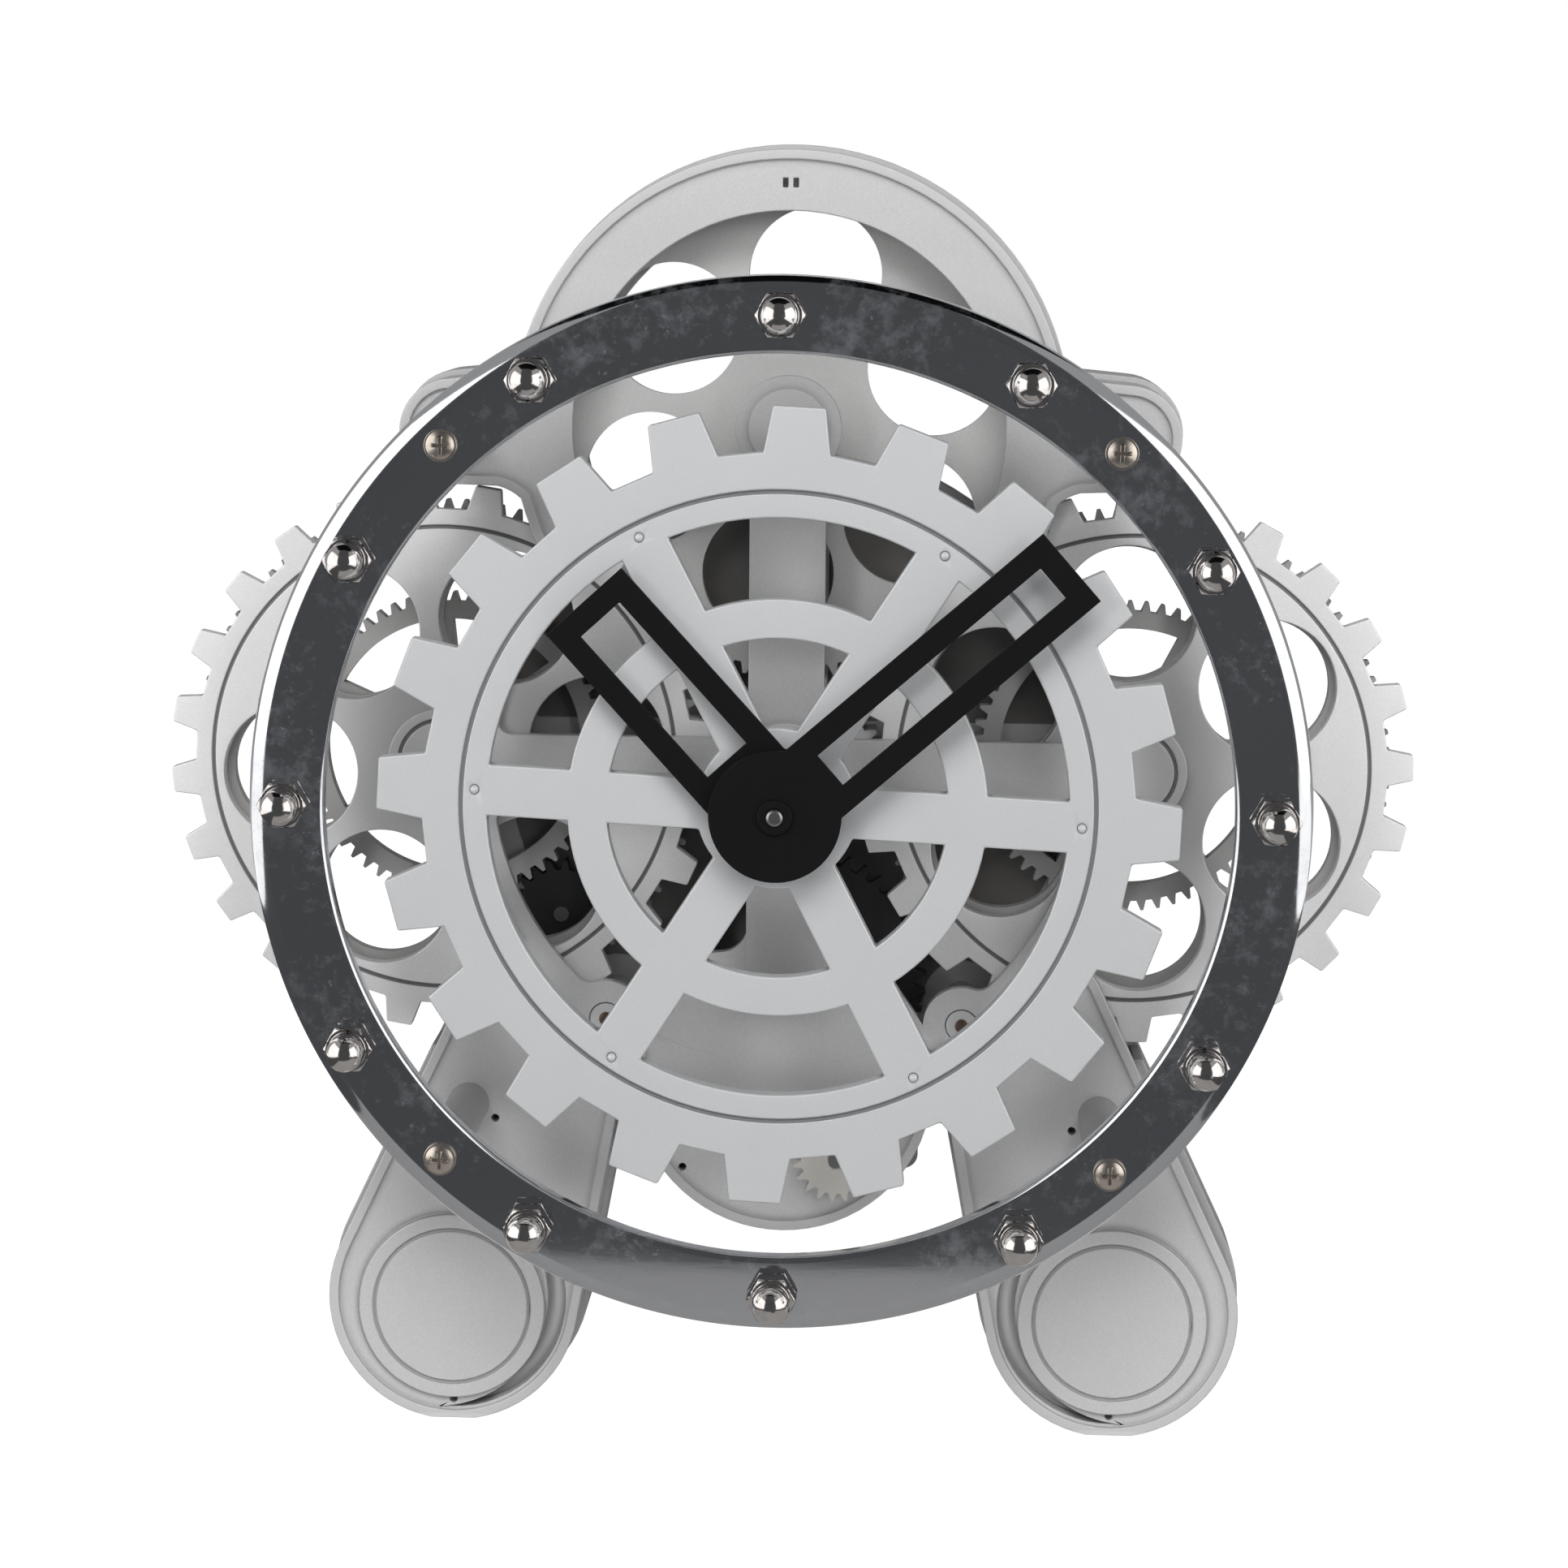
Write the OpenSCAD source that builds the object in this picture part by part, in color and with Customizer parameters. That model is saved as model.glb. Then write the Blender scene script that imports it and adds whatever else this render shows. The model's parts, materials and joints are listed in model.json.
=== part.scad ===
// Skeleton table clock: a ring with twelve cap nuts stands in front of an open frame
// whose large toothed wheels turn together. X is right, Z is up, and the dial faces -Y.
// A depth is counted backwards from the front face of the ring.

/* [Ring] */
// Outer radius of the pressed ring
ring_r = 97.2; // [92:0.2:104]
// Width of the ring's face
ring_face_w = 14.2; // [11.2:0.2:17.2]
// Depth of the ring's turned back edges
ring_depth = 5; // [4.6:0.1:8]
// Thickness of the ring's sheet
ring_sheet = 1.2; // [0.8:0.1:1.6]
// Radius of the ring's rounded outer edge
ring_round = 3.6; // [2:0.1:4]
// Distance of the nuts and screws from the ring's outer edge
fixing_in = 7.2; // [6:0.1:8.2]
// Angle of the four screws from the vertical
screw_angle = 43; // [40:0.5:46]

/* [Cap nuts and screws] */
// Number of cap nuts, one for each hour
nut_count = 12; // [12]
// Width of a nut across its flats
nut_flats = 8; // [7:0.1:8.4]
// Height of a nut's hexagon
nut_hex_h = 4; // [3:0.1:5]
// Radius of a nut's dome
nut_dome_r = 3.4; // [3.2:0.05:3.6]
// Height of the straight part between hexagon and dome
nut_neck_h = 2.4; // [1:0.1:3]
// Shank radius of the bolts under the nuts
bolt_r = 2.4; // [2:0.05:2.5]
// Head radius of the bolts under the nuts
bolt_head_r = 3.6; // [3.2:0.1:3.8]
// Head height of the bolts under the nuts
bolt_head_h = 2.4; // [1.5:0.1:3]
// Head radius of the small screws
screw_head_r = 3; // [2.4:0.1:3.4]
// Head height of the small screws
screw_head_h = 1.7; // [1:0.1:2.2]
// Shank radius of the small screws
screw_r = 1.45; // [1.2:0.05:1.7]
// Length of a small screw's shank
screw_len = 12; // [8:0.5:16]
// Radius of the posts that carry the ring
post_r = 4; // [3.6:0.1:5]

/* [Front wheel] */
// Number of coarse teeth on the front wheel
front_teeth = 20; // [18:1:22]
// Gap between the ring's inner edge and the teeth
front_gap = 9.4; // [8:0.2:12]
// Radius at the foot of the teeth, as a share of the radius over them
front_root_share = 0.886; // [0.87:0.002:0.9]
// Width of a tooth at its tip
front_tip_w = 9.6; // [8:0.1:10.5]
// Width of a tooth at its foot
front_foot_w = 12.2; // [11:0.1:13.5]
// Angle of the first tooth, clockwise from the top
front_turn = 2.7; // [0:0.1:18]
// Thickness of the front wheel
front_t = 3.4; // [2.4:0.1:4.5]
// Depth of the front wheel's face
front_depth = 2; // [1.6:0.1:3]
// Outer radius of the outer windows, as a share of the radius over the teeth
win_out_share = 0.723; // [0.71:0.001:0.735]
// Outer radius of the middle ring, as a share of the same radius
mid_out_share = 0.522; // [0.49:0.002:0.54]
// Inner radius of the middle ring, as a share of the same radius
mid_in_share = 0.424; // [0.4:0.002:0.44]
// Radius of the solid centre
front_hub_r = 14.8; // [13:0.2:17]
// Number of spokes
spoke_count = 6; // [6]
// Width of a spoke
spoke_w = 9.4; // [7:0.2:11]
// Radius of the line around the face, as a share of the same radius
face_line_share = 0.788; // [0.78:0.001:0.81]
// Radius of the circle of small rivets on the spokes, as a share of the same radius
rivet_circle_share = 0.754; // [0.75:0.001:0.76]

/* [Hands] */
// Length of the minute hand from its axis
long_hand_len = 69.7; // [60:0.5:72]
// Width of the minute hand
long_hand_w = 15.8; // [12:0.2:18]
// Length of the hour hand from its axis
short_hand_len = 51.7; // [40:0.5:56]
// Width of the hour hand
short_hand_w = 18.3; // [14:0.2:20]
// Width of the bars around a hand's opening
hand_bar = 4.4; // [3:0.1:5]
// Thickness of the hands
hand_t = 1; // [0.6:0.1:1.4]
// Radius of the hands' round hub
hand_hub_r = 12; // [10:0.2:13.5]
// Direction of the minute hand, clockwise from the top
long_hand_turn = 48.9; // [0:0.1:360]
// Direction of the hour hand, clockwise from the top
short_hand_turn = 317.5; // [0:0.1:360]

/* [Wheel train] */
// Distance of the side and top axes from the main axis
axis_dist = 67; // [66.4:0.1:67.6]
// Angle by which the side axes stand above the main axis
side_rise = 1.4; // [0:0.1:1.6]
// Teeth of the large wheels on those axes
planet_teeth = 88; // [88]
// Teeth of the centre pinion
centre_teeth = 32; // [32]
// Teeth of the relay wheel below the centre pinion
relay_teeth = 44; // [42:1:44]
// Teeth of the small wheel on the turning shaft
shaft_teeth = 14; // [14]
// Thickness of the large wheels
planet_t = 2.5; // [2:0.1:2.8]
// Pitch radius of the ring gears behind the side wheels
ring_pitch_r = 30; // [28.8:0.3:30.3]
// Teeth of the ring gears
ring_teeth = 60; // [60]
// Teeth of the motor's pinion
drive_teeth = 20; // [18:1:20]
// Thickness of the ring gears
ring_gear_t = 3; // [2.4:0.1:3.2]
// Direction of the motor's pinion from the left axis
drive_angle = -57.3; // [-59:0.1:-56.2]
// Direction of the relay wheel from the main axis
relay_angle = -87; // [-89:0.5:-86]
// Direction of the turning shaft from the relay wheel
shaft_angle = -74.8; // [-78:0.2:-73]
// Teeth of the light pinion on the shaft's front end
front_pinion_teeth = 19; // [17:1:20]
// Pitch radius of that pinion
front_pinion_pitch_r = 7.6; // [7.2:0.1:8]

/* [Side wheels] */
// Number of coarse teeth on a side wheel
side_teeth = 24; // [22:1:26]
// Radius over the coarse teeth
side_tip_r = 53.7; // [52:0.1:54.2]
// Radius at the foot of the coarse teeth
side_root_r = 48.8; // [47:0.1:49.5]
// Width of a coarse tooth at its tip
side_tip_w = 4.9; // [4:0.1:5.6]
// Width of a coarse tooth at its foot
side_foot_w = 7; // [6:0.1:7.6]
// Thickness of a side wheel
side_t = 3; // [2:0.1:3.4]
// Radius of the line around a side wheel's face
side_line_r = 45.3; // [44:0.1:46.5]
// Number of round holes in a web
web_count = 6; // [5:1:6]
// Radius of the round holes in a web, as a share of the radius at the foot of the teeth
web_hole_share = 0.27; // [0.2:0.002:0.28]
// Radius of the circle of those holes, as a share of the same radius
web_circle_share = 0.62; // [0.6:0.002:0.63]
// Angle of the left wheel's first tooth, clockwise from the top
left_turn = 9.4; // [0:0.1:15]
// Angle of the right wheel's first tooth, clockwise from the top
right_turn = 13.8; // [0:0.1:15]
// Angle of the left wheel's first hole, clockwise from the top
left_hole_turn = 23.8; // [0:0.1:60]
// Angle of the right wheel's first hole, clockwise from the top
right_hole_turn = -2.5; // [-30:0.5:60]
// Angle of the top wheel's first hole, clockwise from the top
top_hole_turn = 8.5; // [0:0.5:60]

/* [Shafts] */
// Outer radius of the front wheel's tube
tube_r = 4; // [3.8:0.05:4.4]
// Outer radius of the hour hand's pipe
pipe_r = 2.8; // [2.5:0.05:3.2]
// Radius of the minute hand's arbor
arbor_r = 1.6; // [1.2:0.05:1.8]
// Radius of the planet wheels' axles
axle_r = 2; // [1.6:0.05:2.4]
// Radius of the planet wheels' hubs
hub_r = 5; // [4.2:0.1:6]
// Radius of the small pins and of the drive shaft
pin_r = 1.5; // [1.2:0.05:1.7]

/* [Frame] */
// Depth of the frame's front face
frame_depth = 39.5; // [38.5:0.1:40]
// Depth of the frame's rear face
frame_back = 66.5; // [66.5:0.1:70]
// Thickness of the frame's plates
plate_t = 2.5; // [2:0.1:2.6]
// Thickness of the frame's side walls
wall_t = 1.8; // [1.2:0.1:2.4]
// Height of the raised border
lip_h = 0.8; // [0.4:0.1:1.2]
// Width of the raised border
lip_w = 1.9; // [1:0.1:2.4]
// How far the rear shell stands out around the front one
rear_flare = 1.1; // [0:0.1:1.5]
// Outer radius of the hoop around the top wheel
hoop_r = 53.3; // [52.6:0.1:55]
// Inner radius of the hoop
hoop_open_r = 41.6; // [39:0.1:43]
// Outer radius of the band around the middle
band_r = 62.6; // [61.5:0.1:63.5]
// Radius of the opening in the middle
middle_open_r = 57; // [56:0.1:57.8]
// Height of the horizontal bar
bar_h = 14; // [12:0.2:15]
// Width of the vertical bar
bar_w = 14.7; // [12:0.2:15.6]
// Rounding of the corners between bars and band
corner_r = 3; // [2:0.1:4]
// Radius of the round bar ends and shoulder ends
lobe_r = 10.2; // [9.4:0.1:11]
// Distance of a shoulder end from the middle plane
shoulder_x = 64.8; // [63.4:0.1:66]
// Height of a shoulder end over the main axis
shoulder_z = 65.8; // [65:0.1:67]
// Radius of the round keel under the middle
keel_r = 29.1; // [27.5:0.1:30]
// Distance of the keel's centre below the main axis
keel_drop = 60.6; // [59.5:0.1:61.5]
// Radius of the screw bosses in the middle opening
boss_r = 7.5; // [7:0.1:8]
// Distance of a screw boss from the middle plane
boss_x = 34.6; // [33.6:0.1:35.2]
// Distance of a screw boss below the main axis
boss_drop = 48.6; // [48:0.1:49.4]

/* [Feet] */
// Outer radius of a foot
foot_r = 24.6; // [23:0.1:26]
// Distance of a foot's centre from the middle plane
foot_x = 64.3; // [62:0.1:66]
// Distance of a foot's centre below the main axis
foot_drop = 104.8; // [102:0.2:108]
// Height cut off each foot to make a flat underside
foot_flat = 0.4; // [0.3:0.05:0.8]
// Radius of the raised disc on a foot
disc_r = 18.3; // [17:0.1:19]
// Height of the raised disc
disc_h = 1.3; // [0.6:0.1:2]
// Radius of the line on the disc
disc_line_r = 15.3; // [14:0.1:16]

/* [Movement and power] */
// Width and height of the quartz movement
movement_w = 56; // [52:0.5:58]
// Depth of the quartz movement
movement_t = 15.5; // [15:0.1:18]
// Radius of the movement's small cell
cell_r = 7.1; // [7:0.05:7.2]
// Length of the movement's small cell
cell_len = 49.5; // [48:0.1:50]
// Radius of the drive's two cells
power_r = 7.1; // [7:0.05:7.2]
// Length of one of those cells
power_len = 49.5; // [48:0.1:50]
// Radius of the time setting knob
knob_r = 7; // [5:0.1:8]
// Radius of the drive motor
motor_r = 9.4; // [8:0.1:9.6]

/* [Hidden] */
$fn = 96;

// Clearances: pressed, running and loose fits, the overrun of a cut, and how far tangent
// curves are let into each other
press_gap = 0.02;
run_gap = 0.08;
hole_gap = 0.2;
over = 1;
blend = 0.01;

// Radii of the ring's opening and of the circle of nuts and screws
ring_open_r = ring_r - ring_face_w;
front_tip_r = ring_open_r - front_gap;
front_root_r = front_root_share * front_tip_r;
win_out_r = win_out_share * front_tip_r;
mid_out_r = mid_out_share * front_tip_r;
mid_in_r = mid_in_share * front_tip_r;
face_line_r = face_line_share * front_tip_r;
rivet_circle_r = rivet_circle_share * front_tip_r;
fixing_r = ring_r - fixing_in;

// Depths from the ring's front face
front_back = front_depth + front_t;
plate_back = frame_depth + plate_t;
side_gap = 1.2;
layer_gap = 1.5;
end_gap = 0.5;
side_depth = plate_back + side_gap;
web_gap = 3.8;
fine_depth = side_depth + side_t + web_gap;
top_depth = fine_depth + planet_t + layer_gap;
mesh_depth = top_depth + planet_t + layer_gap + end_gap;
mesh_back = mesh_depth + ring_gear_t;
rear_depth = frame_back - plate_t;
seam_depth = (frame_depth + frame_back) / 2;
hand_stand = 3.6;
hour_depth = -hand_stand;
hand_step = 3;
minute_depth = hour_depth - hand_step;
arbor_stand = 1.7;
arbor_depth = minute_depth - arbor_stand;
movement_back = frame_back + movement_t;
box_wall = 1.6;
box_back = frame_back + 2 * power_r + 2 * box_wall;
door_t = 1.6;
nut_h = nut_hex_h + nut_neck_h + nut_dome_r;

// The origin lies under the middle of the whole clock
y_mid = (nut_h - box_back - door_t) / 2;
axis_h = foot_drop + foot_r - foot_flat;

// Places in the dial plane, from the main axis
big_mod = 2 * axis_dist / (centre_teeth + planet_teeth);
ring_mod = 2 * ring_pitch_r / ring_teeth;
front_pinion_mod = 2 * front_pinion_pitch_r / front_pinion_teeth;
MAIN = [0, 0];
RIGHT = axis_dist * [cos(side_rise), sin(side_rise)];
LEFT = [-RIGHT.x, RIGHT.y];
TOP = [0, axis_dist];
DRIVE = LEFT + spot(ring_mod * (ring_teeth + drive_teeth) / 2, drive_angle);
RELAY = spot(big_mod * (centre_teeth + relay_teeth) / 2, relay_angle);
TURNING = RELAY + spot(big_mod * (relay_teeth + shaft_teeth) / 2, shaft_angle);
SHOULDER = [shoulder_x, shoulder_z];
BOSS = [boss_x, -boss_drop];
KEEL = [0, -keel_drop];
FOOT = [foot_x, -foot_drop];
DISC = [64.6, -106.4];
LEG_ROOT = [46, -48];
leg_root_r = 17;
SHOULDER_TOP = [45, 65];
shoulder_top_r = 10;
SHOULDER_LOW = [50, 66.3];
shoulder_low_r = 11.1;
NOTCH = [58.2, 45.6];
notch_r = 10;
UPPER_PILLAR = [69.3, 66];
GEARBOX = [-51.8, -42];
MOTOR = [-53.3, -44.5];

// Phases of the meshing wheels, each from the wheel that it meshes with
centre_phase = 0;
left_phase = mesh_phase(centre_phase, centre_teeth, planet_teeth, 180 - side_rise);
right_phase = mesh_phase(centre_phase, centre_teeth, planet_teeth, side_rise);
top_phase = mesh_phase(centre_phase, centre_teeth, planet_teeth, 90);
relay_phase = mesh_phase(centre_phase, centre_teeth, relay_teeth, relay_angle);
shaft_phase = mesh_phase(relay_phase, relay_teeth, shaft_teeth, shaft_angle);
ring_phase = 0;
drive_phase = mesh_phase(ring_phase, ring_teeth, drive_teeth, drive_angle);

// Shares of a meshing tooth, in tooth sizes
tip_share = 0.85;
foot_share = 1.1;
tip_width_share = 0.6;
foot_width_share = 1.88;

function spot(r, a) = [r * cos(a), r * sin(a)];
function clock_spot(r, a) = [r * sin(a), r * cos(a)];
// Phase of wheel B that puts a gap of B on a tooth of A, with B in direction dir from A
function mesh_phase(a_phase, a_teeth, b_teeth, dir) =
    dir + 180 + (dir - a_phase) * a_teeth / b_teeth + 180 / b_teeth;
// Crossing of two circles, on the left of the line from p to q
function crossing(p, rp, q, rq) =
    let (d = norm(q - p), a = (d * d + rp * rp - rq * rq) / (2 * d), h = sqrt(rp * rp - a * a),
        u = (q - p) / d)
    p + a * u + h * [-u.y, u.x];
// Outline of a wheel with straight-sided teeth, four points to a tooth
function teeth(n, tip_r, root_r, tip_w, foot_w, phase) = [for (i = [0 : n - 1])
    let (a = phase + i * 360 / n, f = asin(foot_w / 2 / root_r), t = asin(tip_w / 2 / tip_r))
    each [spot(root_r, a - f), spot(tip_r, a - t), spot(tip_r, a + t), spot(root_r, a + f)]];

// A flat piece between two depths, drawn as seen from the front
module slab(d1, d2)
    translate([0, y_mid + d2, axis_h]) rotate([90, 0, 0]) linear_extrude(d2 - d1) children();
// A rod along the depth
module rod(p, r, d1, d2)
    translate([p.x, y_mid + d1, axis_h + p.y]) rotate([-90, 0, 0]) cylinder(r = r, h = d2 - d1);
// A turned piece whose profile is drawn as radius and depth
module turned(p, d)
    translate([p.x, y_mid + d, axis_h + p.y]) rotate([-90, 0, 0]) rotate_extrude() children();
module both() {
    children();
    mirror([1, 0]) children();
}
// Two discs joined by their outer tangents
module link(p, rp, q, rq) {
    a = atan2(q.y - p.y, q.x - p.x);
    b = acos((rp - rq) / norm(q - p));
    m = rp - blend;
    n = rq - blend;
    translate(p) circle(rp);
    translate(q) circle(rq);
    polygon([p + spot(m, a + b), q + spot(n, a + b), q + spot(n, a - b), p + spot(m, a - b)]);
}
module annulus(ro, ri) difference() {
    circle(ro);
    circle(ri);
}
// A wheel of the meshing train between two depths, with tooth size m
module mesh_wheel(p, n, m, phase, d1, d2, bore) slab(d1, d2) translate(p) difference() {
    polygon(teeth(n, m * (n / 2 + tip_share), m * (n / 2 - foot_share),
        m * tip_width_share, m * foot_width_share, phase));
    circle(bore);
}
// Round holes in the web of a wheel whose teeth start at root_r
module web_holes(turn, root_r) for (i = [0 : web_count - 1])
    translate(clock_spot(web_circle_share * root_r, turn + i * 360 / web_count))
        circle(web_hole_share * root_r);
line_w = 0.6;
line_d = 0.5;

// Ring and its fixings
module ring_profile(g) {
    inner = ring_open_r + g;
    outer = ring_r - g;
    round_r = ring_round - g;
    translate([inner, g]) square([outer - round_r - inner, ring_depth - g]);
    translate([inner, ring_round]) square([outer - inner, ring_depth - ring_round]);
    translate([outer - round_r, ring_round]) circle(round_r);
}
module bezel_ring() color("slategray") difference() {
    turned(MAIN, 0) difference() {
        ring_profile(0);
        ring_profile(ring_sheet);
        translate([ring_open_r + ring_sheet, ring_depth / 2])
            square([ring_r - ring_open_r - 2 * ring_sheet, ring_depth]);
    }
    for (i = [0 : nut_count - 1])
        rod(clock_spot(fixing_r, i * 360 / nut_count), bolt_r + hole_gap, -over, ring_sheet + over);
    for (p = screw_spots()) rod(p, screw_r + hole_gap, -over, ring_sheet + over);
}
function screw_spots() = [for (a = [screw_angle, 180 - screw_angle, 180 + screw_angle,
    360 - screw_angle]) clock_spot(fixing_r, a)];
module cap_nut() {
    hex_r = nut_flats / sqrt(3);
    chamfer = hex_r - nut_flats / 2;
    difference() {
        union() {
            intersection() {
                cylinder(r = hex_r, h = nut_hex_h, $fn = 6);
                rotate_extrude() polygon([[0, 0], [nut_flats / 2, 0], [hex_r, chamfer],
                    [hex_r, nut_hex_h - chamfer], [nut_flats / 2, nut_hex_h], [0, nut_hex_h]]);
            }
            cylinder(r = nut_dome_r, h = nut_hex_h + nut_neck_h);
            translate([0, 0, nut_hex_h + nut_neck_h]) sphere(r = nut_dome_r);
        }
        translate([0, 0, -over]) cylinder(r = bolt_r + run_gap, h = over + nut_hex_h + nut_neck_h);
    }
}
module cap_nuts() color("lightgray") for (i = [0 : nut_count - 1]) {
    p = clock_spot(fixing_r, i * 360 / nut_count);
    translate([p.x, y_mid, axis_h + p.y]) rotate([90, 0, 0]) cap_nut();
}
module nut_bolts() color("silver") for (i = [0 : nut_count - 1]) {
    p = clock_spot(fixing_r, i * 360 / nut_count);
    rod(p, bolt_head_r, ring_sheet, ring_sheet + bolt_head_h);
    rod(p, bolt_r, -nut_hex_h - nut_neck_h / 2, ring_sheet);
}
// A small screw along the depth: its head ends at depth d, its shank runs back from there
module small_screw(p, d, len) difference() {
    turned(p, d) {
        translate([0, -screw_head_h / 2]) square([screw_head_r, screw_head_h / 2]);
        intersection() {
            translate([0, -screw_head_h]) square([screw_head_r, screw_head_h]);
            scale([1, screw_head_h / screw_head_r]) circle(screw_head_r);
        }
        square([screw_r, len]);
    }
    for (a = [0, 90]) translate([p.x, y_mid + d - screw_head_h, axis_h + p.y]) rotate([0, a, 0])
        cube([screw_head_r, screw_head_h, screw_head_r / 5], center = true);
}
module ring_screws() color("tan") for (p = screw_spots()) small_screw(p, 0, screw_len);
module ring_posts() color("silver") for (p = screw_spots()) difference() {
    rod(p, post_r, ring_sheet, frame_depth);
    rod(p, screw_r + run_gap, ring_sheet - over, screw_len + over);
    rod(p, screw_r + run_gap, frame_depth - screw_len, frame_depth + over);
}
// Screws from behind the front plate into the posts
module post_screws() color("gray") for (p = screw_spots()) {
    rod(p, screw_head_r, plate_back, plate_back + screw_head_h);
    rod(p, screw_r, frame_depth - screw_len + over, plate_back);
}

// Front wheel and the parts that turn with it
module windows(r_in, r_out) difference() {
    annulus(r_out, r_in);
    for (i = [0 : spoke_count - 1]) rotate(-front_turn + i * 360 / spoke_count)
        translate([0, -spoke_w / 2]) square([r_out + over, spoke_w]);
}
module front_wheel() color("gainsboro") difference() {
    union() {
        slab(front_depth, front_back) difference() {
            polygon(teeth(front_teeth, front_tip_r, front_root_r, front_tip_w, front_foot_w,
                90 - front_turn));
            windows(mid_out_r, win_out_r);
            windows(front_hub_r, mid_in_r);
        }
        rod(MAIN, front_hub_r - hand_bar, front_back - over, front_back + front_t);
    }
    rod(MAIN, tube_r + press_gap, front_depth - over, front_back + front_t + over);
    slab(front_depth - over, front_depth + line_d)
        annulus(face_line_r + line_w / 2, face_line_r - line_w / 2);
    for (p = rivet_spots()) rod(p, rivet_r + press_gap, front_depth - over, front_back + over);
}
rivet_r = 0.8;
function rivet_spots() = [for (i = [0 : spoke_count - 1])
    clock_spot(rivet_circle_r, front_turn + (i + 0.5) * 360 / spoke_count)];
module wheel_rivets() color("white") for (p = rivet_spots()) turned(p, front_depth) {
    square([rivet_r, front_t]);
    intersection() {
        circle(rivet_r);
        translate([0, -rivet_r]) square(rivet_r);
    }
}
module wheel_tube() color("silver") difference() {
    rod(MAIN, tube_r, front_depth, frame_back - end_gap);
    rod(MAIN, pipe_r + run_gap, front_depth - over, frame_back);
}
module centre_pinion() color("gainsboro")
    mesh_wheel(MAIN, centre_teeth, big_mod, centre_phase, fine_depth - end_gap,
        top_depth + planet_t + end_gap, tube_r + press_gap);

// Hands
module hand_blade(len, w, turn) rotate(-turn) difference() {
    union() {
        circle(hand_hub_r);
        translate([-w / 2, 0]) square([w, len]);
    }
    translate([-w / 2 + hand_bar, hand_hub_r + hand_bar / 4])
        square([w - 2 * hand_bar, len - hand_bar * 5 / 4 - hand_hub_r]);
}
module hour_hand() color("#151515") difference() {
    union() {
        slab(hour_depth, hour_depth + hand_t) hand_blade(short_hand_len, short_hand_w, short_hand_turn);
        rod(MAIN, pipe_r + hand_t * 2, hour_depth + hand_t, front_depth - 3 * hand_t / 2);
    }
    rod(MAIN, pipe_r + press_gap, hour_depth - over, front_depth);
}
module hour_pipe() color("goldenrod") difference() {
    rod(MAIN, pipe_r, hour_depth, movement_front());
    rod(MAIN, arbor_r + run_gap, hour_depth - over, movement_front() + over);
}
function movement_front() = frame_back + movement_t / 3;
module minute_hand() color("#101010") difference() {
    union() {
        slab(minute_depth, minute_depth + hand_t) hand_blade(long_hand_len, long_hand_w, long_hand_turn);
        rod(MAIN, arbor_r + hand_t * 2, minute_depth + hand_t, hour_depth - hand_t / 2);
    }
    rod(MAIN, arbor_r + press_gap, minute_depth - over, hour_depth);
}
module minute_arbor() color("silver")
    rod(MAIN, arbor_r, arbor_depth, movement_front() + movement_t / 6);
module hand_collar() color("#202020") turned(MAIN, minute_depth) difference() {
    translate([0, -hand_t]) square([2 * arbor_r, hand_t]);
    translate([0, -hand_t - over]) square([arbor_r + press_gap, hand_t + 2 * over]);
}

// Planet trains: a coarse wheel in front, a fine wheel behind it and the meshing wheel
module coarse_gear(p, turn, hole_turn) difference() {
    slab(side_depth, side_depth + side_t) translate(p) difference() {
        polygon(teeth(side_teeth, side_tip_r, side_root_r, side_tip_w, side_foot_w, 90 - turn));
        web_holes(hole_turn, side_root_r);
        circle(hub_r + press_gap);
    }
    slab(side_depth - over, side_depth + line_d) translate(p)
        annulus(side_line_r + line_w / 2, side_line_r - line_w / 2);
}
module fine_wheel(p, phase, d, turn) difference() {
    mesh_wheel(p, planet_teeth, big_mod, phase, d, d + planet_t, hub_r + press_gap);
    slab(d - over, d + planet_t + over) translate(p)
        web_holes(turn, big_mod * (planet_teeth / 2 - foot_share));
}
rim_w = 3.4;
ring_bars = 3;
module ring_gear(p, turn) {
    rim = ring_mod * (ring_teeth / 2 - foot_share) - rim_w;
    difference() {
        mesh_wheel(p, ring_teeth, ring_mod, ring_phase, mesh_depth, mesh_back, hub_r + press_gap);
        slab(mesh_depth - over, mesh_back + over) translate(p) difference() {
            annulus(rim, 2 * hub_r);
            for (i = [1 : ring_bars]) rotate(i * 180 / ring_bars - turn)
                square([3 * rim, hub_r], center = true);
        }
    }
}
module planet_hub(p) difference() {
    rod(p, hub_r, side_depth - side_gap / 2, rear_depth - end_gap);
    rod(p, axle_r + run_gap, plate_back, rear_depth);
}
module left_gear() color("gainsboro") coarse_gear(LEFT, left_turn, left_hole_turn);
module right_gear() color("gainsboro") coarse_gear(RIGHT, right_turn, right_hole_turn);
module left_fine_wheel() color("lightgray")
    fine_wheel(LEFT, left_phase, fine_depth, left_hole_turn);
module right_fine_wheel() color("lightgray")
    fine_wheel(RIGHT, right_phase, fine_depth, right_hole_turn);
module top_wheel() color("darkgray") fine_wheel(TOP, top_phase, top_depth, top_hole_turn);
module left_ring_gear() color("silver") ring_gear(LEFT, left_hole_turn);
module right_ring_gear() color("silver") ring_gear(RIGHT, right_hole_turn);
module left_hub() color("silver") planet_hub(LEFT);
module right_hub() color("silver") planet_hub(RIGHT);
module top_hub() color("silver") planet_hub(TOP);
module planet_axles() color("dimgray") for (p = [LEFT, RIGHT, TOP])
    rod(p, axle_r, frame_depth + lip_h, frame_back);

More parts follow.
